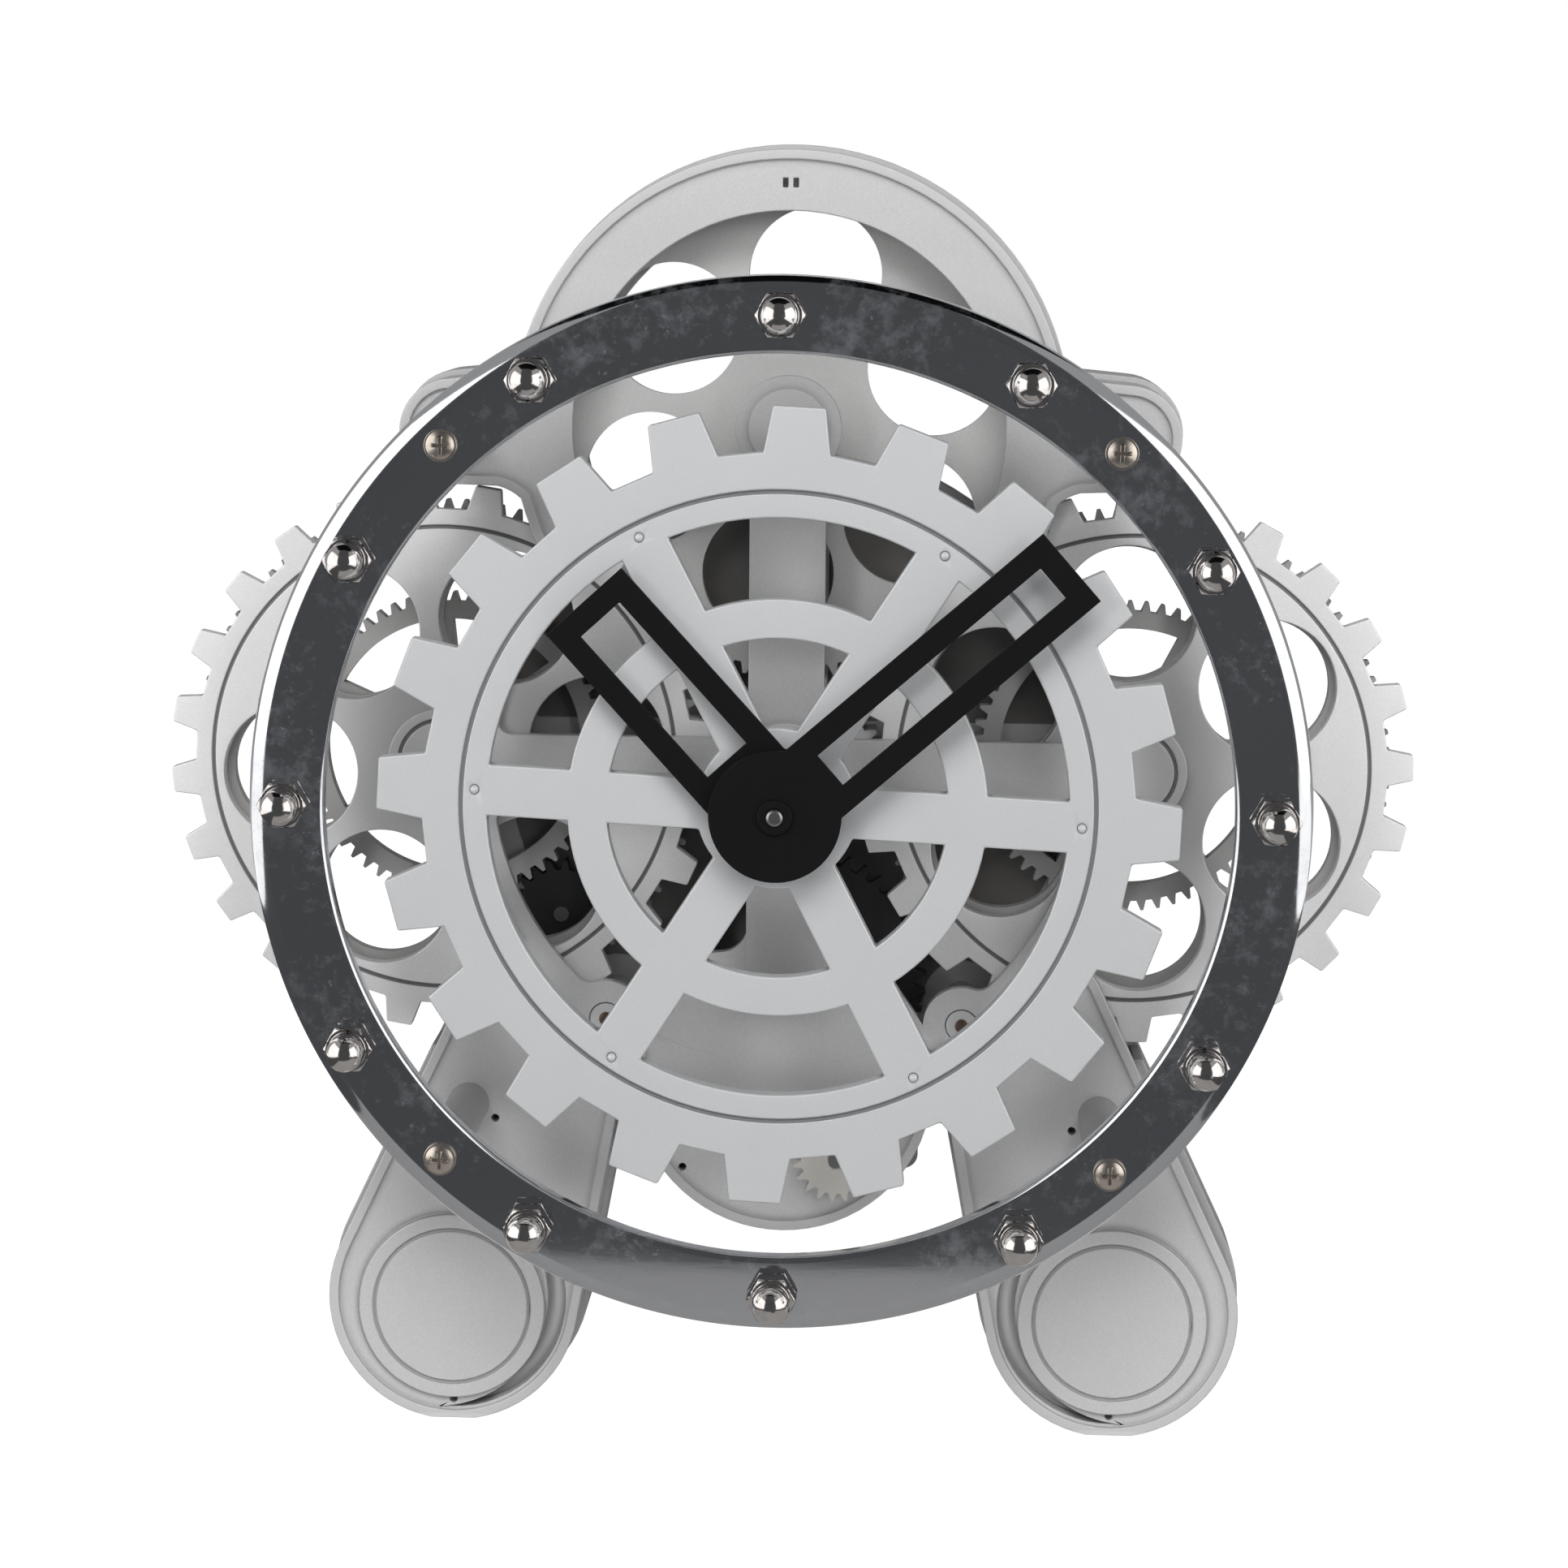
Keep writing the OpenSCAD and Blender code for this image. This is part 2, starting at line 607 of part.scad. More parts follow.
// Motor pinion, relay wheel and turning shaft
module drive_pinion() color("ivory")
    mesh_wheel(DRIVE, drive_teeth, ring_mod, drive_phase, mesh_depth, mesh_back, pin_r + press_gap);
module motor_shaft() color("dimgray")
    rod(DRIVE, pin_r, mesh_depth - end_gap, frame_back + gearbox_t / 2);
module relay_wheel() color("#4a4a4a") difference() {
    mesh_wheel(RELAY, relay_teeth, big_mod, relay_phase, top_depth, top_depth + planet_t,
        pin_r + run_gap);
    slab(top_depth - over, top_depth + planet_t + over) translate(RELAY)
        for (i = [1 : relay_holes]) translate(spot(relay_circle_r, i * 360 / relay_holes))
            circle(relay_hole_r);
}
relay_holes = 5;
relay_circle_r = 15;
relay_hole_r = 5.5;
// A pin with a flat head in front of its wheel, fast in the rear plate
module relay_pin() color("dimgray") {
    rod(RELAY, 2 * pin_r, top_depth - 2 * end_gap, top_depth - end_gap);
    rod(RELAY, pin_r, top_depth - end_gap, frame_back);
}
pinion_depth = 32.5;
module turning_shaft() color("dimgray")
    rod(TURNING, pin_r, pinion_depth - end_gap, rear_depth + plate_t / 2);
module shaft_wheel() color("ivory")
    mesh_wheel(TURNING, shaft_teeth, big_mod, shaft_phase, top_depth, top_depth + planet_t,
        pin_r + press_gap);
module front_pinion() color("ivory")
    mesh_wheel(TURNING, front_pinion_teeth, front_pinion_mod, 0, pinion_depth,
        pinion_depth + ring_gear_t, pin_r + press_gap);
gearbox_r = 14.5;
gearbox_t = 11;
motor_out = 5;
module gearbox_case() color("#3a3632") difference() {
    rod(GEARBOX, gearbox_r, frame_back, frame_back + gearbox_t);
    rod(DRIVE, pin_r + run_gap, frame_back - over, frame_back + gearbox_t / 2 + end_gap);
    rod(MOTOR, motor_r + press_gap, frame_back + gearbox_t / 2 + 2 * end_gap,
        frame_back + gearbox_t + over);
}
module drive_motor() color("silver") {
    rod(MOTOR, motor_r, frame_back + gearbox_t / 2 + 2 * end_gap,
        frame_back + gearbox_t + motor_out);
    rod(MOTOR, motor_r / 3, frame_back + gearbox_t + motor_out,
        frame_back + gearbox_t + motor_out + over);
}

// Frame
module frame_outline(g = 0) {
    translate(TOP) circle(hoop_r + g);
    circle(band_r + g);
    translate(KEEL) circle(keel_r + g);
    translate([-axis_dist, -bar_h / 2 - g]) square([2 * axis_dist, bar_h + 2 * g]);
    both() {
        translate(RIGHT) circle(lobe_r + g);
        link(SHOULDER, lobe_r + g, SHOULDER_TOP, shoulder_top_r + g);
        link(SHOULDER, lobe_r + g, SHOULDER_LOW, shoulder_low_r + g);
        link(LEG_ROOT, leg_root_r + g, FOOT, foot_r + g);
        difference() {
            translate([NOTCH.x - 2 * notch_r, NOTCH.y - notch_r])
                square([2 * notch_r, 2 * notch_r + shoulder_low_r / 2]);
            translate(NOTCH) circle(notch_r - g);
            translate([NOTCH.x - notch_r + g, 0]) square([2 * notch_r, NOTCH.y]);
        }
    }
}
// Rounds the corner between a bar's edge at height h and the opening's circle
module rim_corner(h) {
    c = [sqrt(pow(middle_open_r - corner_r, 2) - pow(h + corner_r, 2)), h + corner_r];
    out = c * middle_open_r / (middle_open_r - corner_r);
    difference() {
        polygon([[c.x, h - corner_r], [middle_open_r + corner_r, h - corner_r],
            out * (middle_open_r + corner_r) / middle_open_r, c]);
        translate(c) circle(corner_r + blend);
    }
}
module inner_corner() translate([bar_w / 2, bar_h / 2]) difference() {
    translate([-corner_r, -corner_r]) square(2 * corner_r);
    translate([corner_r, corner_r]) circle(corner_r + blend);
}
// A screw boss that grows out of the opening's edge with rounded flanks
module edge_boss(p, r) {
    flank = corner_r;
    translate(p) circle(r);
    for (m = [0, 1]) {
        c0 = crossing(MAIN, middle_open_r - flank, p, r + flank);
        u = p / norm(p);
        c = m == 0 ? c0 : 2 * (c0 * u) * u - c0;
        difference() {
            polygon([p, c, c * (middle_open_r + flank) / (middle_open_r - flank),
                p * (middle_open_r + flank) / norm(p)]);
            translate(c) circle(flank + blend);
        }
    }
}
module pockets(bosses) difference() {
    circle(middle_open_r);
    translate([-middle_open_r, -bar_h / 2]) square([2 * middle_open_r, bar_h]);
    translate([-bar_w / 2, -middle_open_r]) square([bar_w, 2 * middle_open_r]);
    for (m = [0, 1]) mirror([m, 0]) for (n = [0, 1]) mirror([0, n]) {
        rim_corner(bar_h / 2);
        mirror([1, -1]) rim_corner(bar_w / 2);
        inner_corner();
    }
    both() edge_boss(BOSS, boss_r);
    for (b = bosses) edge_boss(b, boss_r - corner_r / 2);
}
module hoop_opening() difference() {
    translate(TOP) circle(hoop_open_r);
    circle(band_r);
    translate(TOP) circle(lobe_r);
    translate([-bar_w / 2, 0]) square([bar_w, axis_dist]);
}
// The walls stand only where no wheel reaches: around the hoop's upper part and the legs
wall_start = 4;
module wall_area() {
    translate([-2 * foot_x, shoulder_z - lobe_r / 2]) square([4 * foot_x, 2 * hoop_r]);
    translate([-2 * foot_x, -2 * foot_drop])
        square([4 * foot_x, 2 * foot_drop - side_tip_r - wall_start]);
}
module walls(g) intersection() {
    difference() {
        frame_outline(g);
        frame_outline(g - wall_t);
    }
    wall_area();
}
module under_cut() translate([0, 0, -foot_r]) cube([4 * foot_x, 4 * frame_back, 2 * foot_r],
    center = true);
small_hole_r = 0.7;
slot_w = 1;
slot_h = 1.8;
slot_up = 46.9;
LEG_HOLE = [56.2, -68.8];
KEEL_HOLE = [-19.4, -77.7];
foot_hole_drop = 20.6;
function small_holes() = [LEG_HOLE, [-LEG_HOLE.x, LEG_HOLE.y], KEEL_HOLE,
    [foot_x, -foot_drop - foot_hole_drop], [-foot_x, -foot_drop - foot_hole_drop]];
foot_pad = 6;
recess = 3.6;
module frame_front() color("silver") difference() {
    union() {
        slab(frame_depth, plate_back) difference() {
            frame_outline();
            pockets([]);
            hoop_opening();
        }
        slab(frame_depth - lip_h, frame_depth) difference() {
            frame_outline();
            frame_outline(-lip_w);
            hoop_opening();
        }
        slab(plate_back, seam_depth) walls(0);
        rod(MAIN, lobe_r, frame_depth - lip_h, side_depth);
        for (p = [LEFT, RIGHT, TOP])
            rod(p, lobe_r - lip_w - line_w, frame_depth - lip_h, frame_depth);
        for (s = [-1, 1]) {
            rod([s * FOOT.x, FOOT.y], foot_r - lip_w, frame_depth, frame_depth + foot_pad);
            rod([s * DISC.x, DISC.y], disc_r, frame_depth - disc_h, frame_depth);
        }
    }
    rod(MAIN, tube_r + run_gap, frame_depth - lip_h - over, side_depth + over);
    for (p = [LEFT, RIGHT, TOP]) rod(p, axle_r + press_gap, frame_depth + lip_h, plate_back + over);
    rod(TURNING, pin_r + run_gap, frame_depth - over, plate_back + over);
    for (p = screw_spots()) rod(p, screw_r + hole_gap, frame_depth - over, plate_back + over);
    for (s = [-1, 1]) {
        rod([s * BOSS.x, BOSS.y], screw_r + hole_gap, frame_depth - over, plate_back + over);
        rod([s * BOSS.x, BOSS.y], screw_head_r + hole_gap, frame_depth - over, frame_depth + over);
        slab(frame_depth - disc_h - over, frame_depth - disc_h + line_d)
            translate([s * DISC.x, DISC.y]) annulus(disc_line_r + line_w / 2, disc_line_r - line_w / 2);
        slab(frame_depth - over, frame_depth + recess) intersection() {
            difference() {
                translate([s * FOOT.x, FOOT.y]) circle(foot_r - lip_w - line_w);
                translate([s * DISC.x, DISC.y]) circle(disc_r + line_w / 2);
                translate([s * (DISC.x + 2 * lip_w), DISC.y + lip_w]) circle(foot_r - lip_w);
            }
            translate([s * FOOT.x, FOOT.y]) circle(foot_r);
        }
    }
    for (p = small_holes()) rod(p, small_hole_r, frame_depth - lip_h - over, plate_back + over);
    for (s = [-1, 1]) translate([s * slot_w, y_mid + frame_depth, axis_h + axis_dist + slot_up])
        cube([slot_w, 4 * plate_t, slot_h], center = true);
    under_cut();
}
module frame_rear() color("darkgray") difference() {
    union() {
        slab(rear_depth, frame_back) difference() {
            frame_outline(rear_flare);
            pockets([DRIVE]);
            hoop_opening();
        }
        slab(seam_depth, rear_depth) walls(rear_flare);
    }
    rod(MAIN, tube_r + run_gap, rear_depth - over, frame_back + over);
    for (p = [LEFT, RIGHT, TOP]) rod(p, axle_r + press_gap, rear_depth - over, frame_back + over);
    rod(RELAY, pin_r + press_gap, rear_depth - over, frame_back + over);
    rod(DRIVE, pin_r + run_gap, rear_depth - over, frame_back + over);
    rod(TURNING, pin_r + run_gap, rear_depth - over, rear_depth + plate_t / 2 + run_gap);
    for (p = pillar_spots()) rod(p, screw_r + hole_gap, rear_depth - over, frame_back + over);
    slab(rear_depth - over, frame_back + over) translate([0, axis_dist + slot_up])
        square([4 * slot_w, slot_h + slot_w], center = true);
    under_cut();
}
function pillar_spots() = [BOSS, [-BOSS.x, BOSS.y], UPPER_PILLAR,
    [-UPPER_PILLAR.x, UPPER_PILLAR.y]];
pillar_r = 3.4;
module frame_pillars() color("silver") for (p = pillar_spots()) difference() {
    rod(p, pillar_r, plate_back, rear_depth);
    rod(p, screw_r + run_gap, plate_back - over, rear_depth + over);
}
// Long screws from the front bosses, short ones from behind
module pillar_screws() color("#4a3a34") {
    for (s = [-1, 1]) {
        p = [s * BOSS.x, BOSS.y];
        rod(p, screw_head_r, frame_depth + line_d / 2, frame_depth + over);
        rod(p, screw_r, frame_depth + over, frame_depth + screw_len);
    }
    for (p = pillar_spots()) {
        rod(p, screw_head_r, frame_back, frame_back + screw_head_h);
        rod(p, screw_r, frame_back - screw_len, frame_back);
    }
}

// Movement on the back of the frame
module rounded_square(w, h, r) {
    square([w - 2 * r, h], center = true);
    square([w, h - 2 * r], center = true);
    for (x = [-1, 1], y = [-1, 1]) translate([x * (w / 2 - r), y * (h / 2 - r)]) circle(r);
}
cell_z = -movement_w / 2 + cell_r + 2 * box_wall;
module movement_case() color("#202224") difference() {
    slab(frame_back, movement_back) rounded_square(movement_w, movement_w, corner_r);
    rod(MAIN, pipe_r + run_gap, frame_back - over, movement_front() + over);
    rod(MAIN, arbor_r + run_gap, frame_back, movement_front() + movement_t / 4);
    translate([0, y_mid + movement_back, axis_h + cell_z])
        cube([cell_len + 2 * hole_gap, 4 * cell_r, 2 * cell_r + 2 * hole_gap], center = true);
    rod([0, movement_w / 5], knob_r / 3 + run_gap, movement_back - knob_r / 2 - over,
        movement_back + over);
}
module movement_cell() color("#b87333")
    translate([-cell_len / 2, y_mid + movement_back - cell_r + hole_gap, axis_h + cell_z])
    rotate([0, 90, 0]) {
        cylinder(r = cell_r, h = cell_len - over);
        cylinder(r = cell_r / 3, h = cell_len);
    }
knob_h = 5;
knob_notches = 12;
knob_notch_r = 1;
module setting_knob() color("#2a2a2a") {
    difference() {
        rod([0, movement_w / 5], knob_r, movement_back + 4 * run_gap, movement_back + knob_h);
        for (i = [1 : knob_notches])
            rod([0, movement_w / 5] + spot(knob_r + hole_gap, i * 360 / knob_notches),
                knob_notch_r, movement_back - over, movement_back + knob_h + over);
    }
    rod([0, movement_w / 5], knob_r / 3, movement_back - knob_r / 2, movement_back + knob_h / 2);
}

// Battery box behind the keel: two cells side by side, and a door that slides sideways
box_w = power_len + 4 * box_wall;
box_h = 4 * power_r + 3 * box_wall;
BOX = [-1.5, -68];
module battery_box() color("#c4c4c6") difference() {
    slab(frame_back, box_back) translate(BOX) rounded_square(box_w, box_h, corner_r);
    for (s = [-1, 1]) translate([BOX.x, y_mid + box_back, axis_h + BOX.y + s * cell_shift])
        cube([box_w - 2 * box_wall, 4 * power_r + 2 * box_wall, 2 * power_r + 2 * hole_gap],
            center = true);
    for (s = [-1, 1])
        translate([BOX.x + s * (box_w - 2 * box_wall - spring_slot) / 2, y_mid + box_back - power_r,
            axis_h + BOX.y]) cube([spring_slot, power_r + spring_slot, 2 * cell_shift],
            center = true);
}
cell_shift = power_r + hole_gap + box_wall / 4;
spring_t = 0.5;
spring_slot = spring_t + hole_gap;
ridge_w = 0.8;
module battery_door() color("#bcbcbe") {
    slab(box_back, box_back + door_t) translate(BOX) rounded_square(box_w, box_h, corner_r);
    for (i = [-2 : 2])
        translate([BOX.x + box_w / 3 + i * 2 * ridge_w, y_mid + box_back + door_t, axis_h + BOX.y])
            cube([ridge_w, ridge_w, box_h / 3], center = true);
}
// The cells lie head to tail
module battery_cells() color("#c8a24a") for (s = [-1, 1])
    translate([BOX.x - s * power_len / 2, y_mid + box_back - power_r - hole_gap,
        axis_h + BOX.y + s * cell_shift]) rotate([0, s * 90, 0]) {
        cylinder(r = power_r, h = power_len - over);
        cylinder(r = power_r / 3, h = power_len);
    }
module battery_springs() color("silver") for (s = [-1, 1])
    translate([BOX.x + s * (box_w / 2 - box_wall - spring_t / 2), y_mid + box_back - power_r,
        axis_h + BOX.y]) cube([spring_t, power_r, 2 * cell_shift], center = true);

bezel_ring();
cap_nuts();
nut_bolts();
ring_screws();
ring_posts();
post_screws();
front_wheel();
wheel_rivets();
wheel_tube();
centre_pinion();
hour_hand();
hour_pipe();
minute_hand();
minute_arbor();
hand_collar();
left_gear();
left_fine_wheel();
left_ring_gear();
left_hub();
right_gear();
right_fine_wheel();
right_ring_gear();
right_hub();
top_wheel();
top_hub();
planet_axles();
drive_pinion();
motor_shaft();
relay_wheel();
relay_pin();
turning_shaft();
shaft_wheel();
front_pinion();
gearbox_case();
drive_motor();
frame_front();
frame_rear();
frame_pillars();
pillar_screws();
movement_case();
movement_cell();
setting_knob();
battery_box();
battery_door();
battery_cells();
battery_springs();
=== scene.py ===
"""Skeleton gear clock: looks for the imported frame.

The ring, nuts, screws, hands, wheels and frame get rounded edges and procedural finishes, and
a pale studio with soft light stands around them.
"""

import json
import math

import bmesh
import bpy
from mathutils import Matrix, Vector

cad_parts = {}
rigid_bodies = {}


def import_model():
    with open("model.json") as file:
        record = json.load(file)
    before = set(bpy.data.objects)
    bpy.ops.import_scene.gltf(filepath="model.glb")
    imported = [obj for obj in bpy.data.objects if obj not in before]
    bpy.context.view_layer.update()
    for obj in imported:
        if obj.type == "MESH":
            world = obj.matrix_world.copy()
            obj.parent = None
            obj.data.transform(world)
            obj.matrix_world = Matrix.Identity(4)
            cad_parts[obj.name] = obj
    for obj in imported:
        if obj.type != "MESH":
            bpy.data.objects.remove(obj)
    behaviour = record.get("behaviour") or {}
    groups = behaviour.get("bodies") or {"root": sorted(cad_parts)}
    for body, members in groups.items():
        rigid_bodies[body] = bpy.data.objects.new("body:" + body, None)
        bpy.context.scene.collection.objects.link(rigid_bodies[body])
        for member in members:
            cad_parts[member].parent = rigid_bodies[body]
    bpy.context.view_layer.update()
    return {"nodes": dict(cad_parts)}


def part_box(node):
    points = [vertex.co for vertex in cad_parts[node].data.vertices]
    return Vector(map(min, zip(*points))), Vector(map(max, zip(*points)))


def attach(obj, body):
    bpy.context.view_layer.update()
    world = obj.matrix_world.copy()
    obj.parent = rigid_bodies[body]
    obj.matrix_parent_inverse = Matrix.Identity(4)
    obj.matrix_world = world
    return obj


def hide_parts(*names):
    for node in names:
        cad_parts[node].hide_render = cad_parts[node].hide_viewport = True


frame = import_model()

bl_info = {
    "name": "Skeleton Gear Clock",
    "version": (1, 0, 0),
    "blender": (4, 5, 0),
    "location": "View3D > Sidebar > Clock",
    "description": "Dresses a skeleton table clock and sets up its studio",
    "category": "Object",
}

NODES = frame["nodes"]


def middle(node):
    """The middle of a CAD node's box."""
    low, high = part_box(node)
    return (Vector(low) + Vector(high)) / 2


# From the ring's face back to the front shell's plate, and from the rear shell's back forward to
# the back panel.
PLATE_DEPTH = 0.0395
PANEL_SINK = 0.0018

# The main axis, the ring's face and the planes and sizes that follow them.
RING_LOW, RING_HIGH = (Vector(corner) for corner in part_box("bezel_ring"))
AXIS_X = (RING_LOW.x + RING_HIGH.x) / 2
AXIS_Z = (RING_LOW.z + RING_HIGH.z) / 2
DIAL_Y = RING_LOW.y
WHEEL_R = (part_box("front_wheel")[1][0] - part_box("front_wheel")[0][0]) / 2
PLATE_Y = DIAL_Y + PLATE_DEPTH
PANEL_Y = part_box("frame_rear")[1][1] - PANEL_SINK


# Shader trees


class Wire:
    """One output of a shader tree; sums and products of it add Math nodes."""

    def __init__(self, tree, socket):
        self.tree = tree
        self.socket = socket

    def math(self, operation, *values):
        """One Math node on numbers or wires."""
        node = self.tree.nodes.new("ShaderNodeMath")
        node.operation = operation
        for entry, value in zip(node.inputs, values):
            if isinstance(value, Wire):
                self.tree.links.new(value.socket, entry)
            else:
                entry.default_value = value
        return Wire(self.tree, node.outputs[0])

    def __add__(self, other):
        return self.math("ADD", self, other)

    def __radd__(self, other):
        return self.math("ADD", other, self)

    def __sub__(self, other):
        return self.math("SUBTRACT", self, other)

    def __rsub__(self, other):
        return self.math("SUBTRACT", other, self)

    def __mul__(self, other):
        return self.math("MULTIPLY", self, other)

    def __rmul__(self, other):
        return self.math("MULTIPLY", other, self)

    def __truediv__(self, other):
        return self.math("DIVIDE", self, other)

    def between(self, start, end):
        """0 below start, 1 above end, and straight in between."""
        scaled = (self - start) / (end - start)
        return scaled.math("MAXIMUM", scaled.math("MINIMUM", scaled, 1.0), 0.0)


class ShaderTree:
    """A material's or world's node tree, built from the left to the right."""

    def __init__(self, tree):
        self.tree = tree
        self.tree.nodes.clear()

    def node(self, kind, settings=None, values=None, output=0):
        """Adds one node: its settings first, then its sockets' values or wires."""
        node = self.tree.nodes.new(kind)
        for name, value in (settings or {}).items():
            setattr(node, name, value)
        for name, value in (values or {}).items():
            entry = self.find(node.inputs, name)
            if isinstance(value, Wire):
                self.tree.links.new(value.socket, entry)
            else:
                entry.default_value = value
        if not node.outputs:
            return None
        return Wire(self.tree, self.find(node.outputs, output))

    @staticmethod
    def find(sockets, name):
        """The socket with that identifier, name or place in the row."""
        known = [socket for socket in sockets if socket.identifier == name]
        return known[0] if known else sockets[name]

    def place(self):
        """Object coordinates, in metres."""
        return self.node("ShaderNodeTexCoord", output="Object")

    def noise(self, size, detail=2.0, rough=0.5, place=None, stretch=None):
        """Soft noise from 0 to 1 whose blotches are about size across, in metres."""
        where = place or self.place()
        if stretch:
            where = self.node(
                "ShaderNodeVectorMath",
                {"operation": "MULTIPLY"},
                {"Vector": where, "Vector_001": stretch},
            )
        return self.node(
            "ShaderNodeTexNoise",
            None,
            {"Vector": where, "Scale": 1 / size, "Detail": detail, "Roughness": rough},
            output="Fac",
        )

    def blend(self, share, first, second):
        """A colour between two colours."""
        return self.node(
            "ShaderNodeMix",
            {"data_type": "RGBA"},
            {"Factor_Float": share, "A_Color": first, "B_Color": second},
            output="Result_Color",
        )

    def relief(self, height, depth, strength=1.0, under=None):
        """A normal from a height of 0 to 1 that stands for depth, in metres."""
        values = {"Height": height, "Distance": depth, "Strength": strength}
        if under:
            values["Normal"] = under
        return self.node("ShaderNodeBump", None, values)

    def surface(self, values):
        """The Principled shader, joined to the output."""
        shader = self.node("ShaderNodeBsdfPrincipled", None, values)
        self.node("ShaderNodeOutputMaterial", None, {"Surface": shader})


def tone(colour, factor=1.0):
    """A colour with its alpha, made lighter or darker."""
    return tuple(min(1.0, c * factor) for c in colour[:3]) + (1.0,)


FINISHES = {}


def finish(name, build, *details):
    """The material with that name, built once."""
    if name not in FINISHES:
        material = bpy.data.materials.new(name)
        material.use_nodes = True
        build(ShaderTree(material.node_tree), *details)
        FINISHES[name] = material
    return FINISHES[name]


# Finishes


def distance(t, centre):
    """Distance from the depth axis through centre."""
    flat = t.node(
        "ShaderNodeVectorMath",
        {"operation": "MULTIPLY_ADD"},
        {
            "Vector": t.place(),
            "Vector_001": (1.0, 0.0, 1.0),
            "Vector_002": (-centre[0], 0.0, -centre[1]),
        },
    )
    return t.node("ShaderNodeVectorMath", {"operation": "LENGTH"}, {"Vector": flat}, output="Value")


def silver_coat(t, colour, rough, flake, metal, lines=()):
    """Sprayed silver: flakes, a faint mottle, a slight orange peel, dust, painted shade in creases
    and painted shade along groove lines.

    Each line has its centre, radius, width and groove shade, the painted shade in its groove, and
    how far painted shade dims the coat toward its centre.
    """
    flake_size, peel_size, mottle_size, dust_size = 0.00022, 0.0006, 0.02, 0.004
    flake_depth, peel_depth, crevice = 0.000012, 0.00003, 0.0016
    grain = t.noise(flake_size, 1.0)
    fine = t.noise(peel_size, 2.0)
    mottle = t.noise(mottle_size, 3.0)
    dust = t.noise(dust_size, 4.0, 0.7).between(0.62, 0.78)
    light = tone(colour, 1.0 + flake)
    dark = tone(colour, 1.0 - flake)
    base = t.blend(grain.between(0.3, 0.7), dark, light)
    base = t.blend(mottle.between(0.35, 0.75) * 0.25, base, tone(colour, 0.86))
    base = t.blend(dust * 0.1, base, (0.78, 0.77, 0.75, 1.0))
    # painted shade: the coat darkens where ambient occlusion finds creases and inner corners
    open_air = t.node(
        "ShaderNodeAmbientOcclusion",
        {"samples": 8, "only_local": True},
        {"Distance": crevice},
        output="AO",
    )
    base = t.blend((1.0 - open_air.between(0.55, 0.97)) * 0.75, base, tone(colour, 0.25))
    # painted shade: each line dims the coat toward its centre and darkens it in its groove
    for centre, radius, width, groove_shade, dim in lines:
        away = distance(t, centre)
        inward = 1.0 - away.between(0.4 * radius, 0.8 * radius)
        base = t.blend(inward * dim, base, tone(colour, 0.3))
        off = away - radius
        beside = off.math("ABSOLUTE", off)
        groove = 1.0 - beside.between(width * 0.4, width * 0.7)
        base = t.blend(groove * groove_shade, base, tone(colour, 0.16))
    roughness = rough + 0.1 * fine + 0.06 * mottle + 0.1 * dust - 0.05
    normal = t.relief(grain, flake_depth, 0.5)
    normal = t.relief(fine, peel_depth, 0.35, normal)
    t.surface({"Base Color": base, "Metallic": metal, "Roughness": roughness, "Normal": normal})


def ring_mirror(t, colour, spot_colour, rough):
    """Dark mirror-like plating with bluish dull blotches, wipe marks and specks."""
    broad_size, blotch_size, speck_size, wipe_size = 0.022, 0.0035, 0.0011, 0.0012
    wipe_depth = 0.00002
    place = t.place()
    broad = t.noise(broad_size, 3.0, 0.6, place)
    blotch = t.noise(blotch_size, 5.0, 0.72, place)
    speck = t.noise(speck_size, 3.0, 0.6, place)
    worn = (broad * 0.5 + blotch * 0.6).between(0.58, 0.78)
    dots = speck.between(0.64, 0.74) * broad.between(0.42, 0.6)
    dull = worn * 0.42 + dots * 0.4
    wiped = t.noise(wipe_size, 2.0, 0.5, place, (0.12, 1.0, 1.0))
    base = t.blend(dull, colour, spot_colour)
    roughness = rough + 0.22 * dull + 0.02 * wiped + 0.03 * broad
    normal = t.relief(wiped * 0.6 + broad * 0.4, wipe_depth, 0.2)
    t.surface(
        {
            "Base Color": base,
            "Metallic": 1.0 - 0.2 * dull,
            "Roughness": roughness,
            "Normal": normal,
        }
    )


def plated(t, colour, rough, haze):
    """Bright plated metal with a little haze and hair lines."""
    cloud_size, line_size, line_depth = 0.0025, 0.0003, 0.000006
    place = t.place()
    cloud = t.noise(cloud_size, 3.0, 0.6, place)
    lines = t.noise(line_size, 2.0, 0.6, place, (0.15, 1.0, 1.0))
    base = t.blend(cloud.between(0.5, 0.8) * haze, colour, tone(colour, 0.6))
    roughness = rough + 0.12 * haze * cloud + 0.06 * lines
    normal = t.relief(lines, line_depth, 0.4)
    t.surface({"Base Color": base, "Metallic": 1.0, "Roughness": roughness, "Normal": normal})


def turned_steel(t, colour, rough):
    """Turned metal: fine rings around the depth axis and small dark pits."""
    ring_size, cloud_size, pit_size, ring_height = 0.00018, 0.006, 0.0005, 0.000012
    place = t.place()
    rings = t.noise(ring_size, 2.0, 0.6, place, (0.3, 1.0, 0.3))
    cloud = t.noise(cloud_size, 3.0, 0.6, place)
    pits = t.noise(pit_size, 3.0, 0.7, place).between(0.68, 0.76)
    base = t.blend(cloud * 0.4, colour, tone(colour, 0.75))
    base = t.blend(pits * 0.5, base, tone(colour, 0.4))
    roughness = rough + 0.15 * rings + 0.1 * cloud
    normal = t.relief(rings, ring_height, 0.5)
    t.surface({"Base Color": base, "Metallic": 1.0, "Roughness": roughness, "Normal": normal})


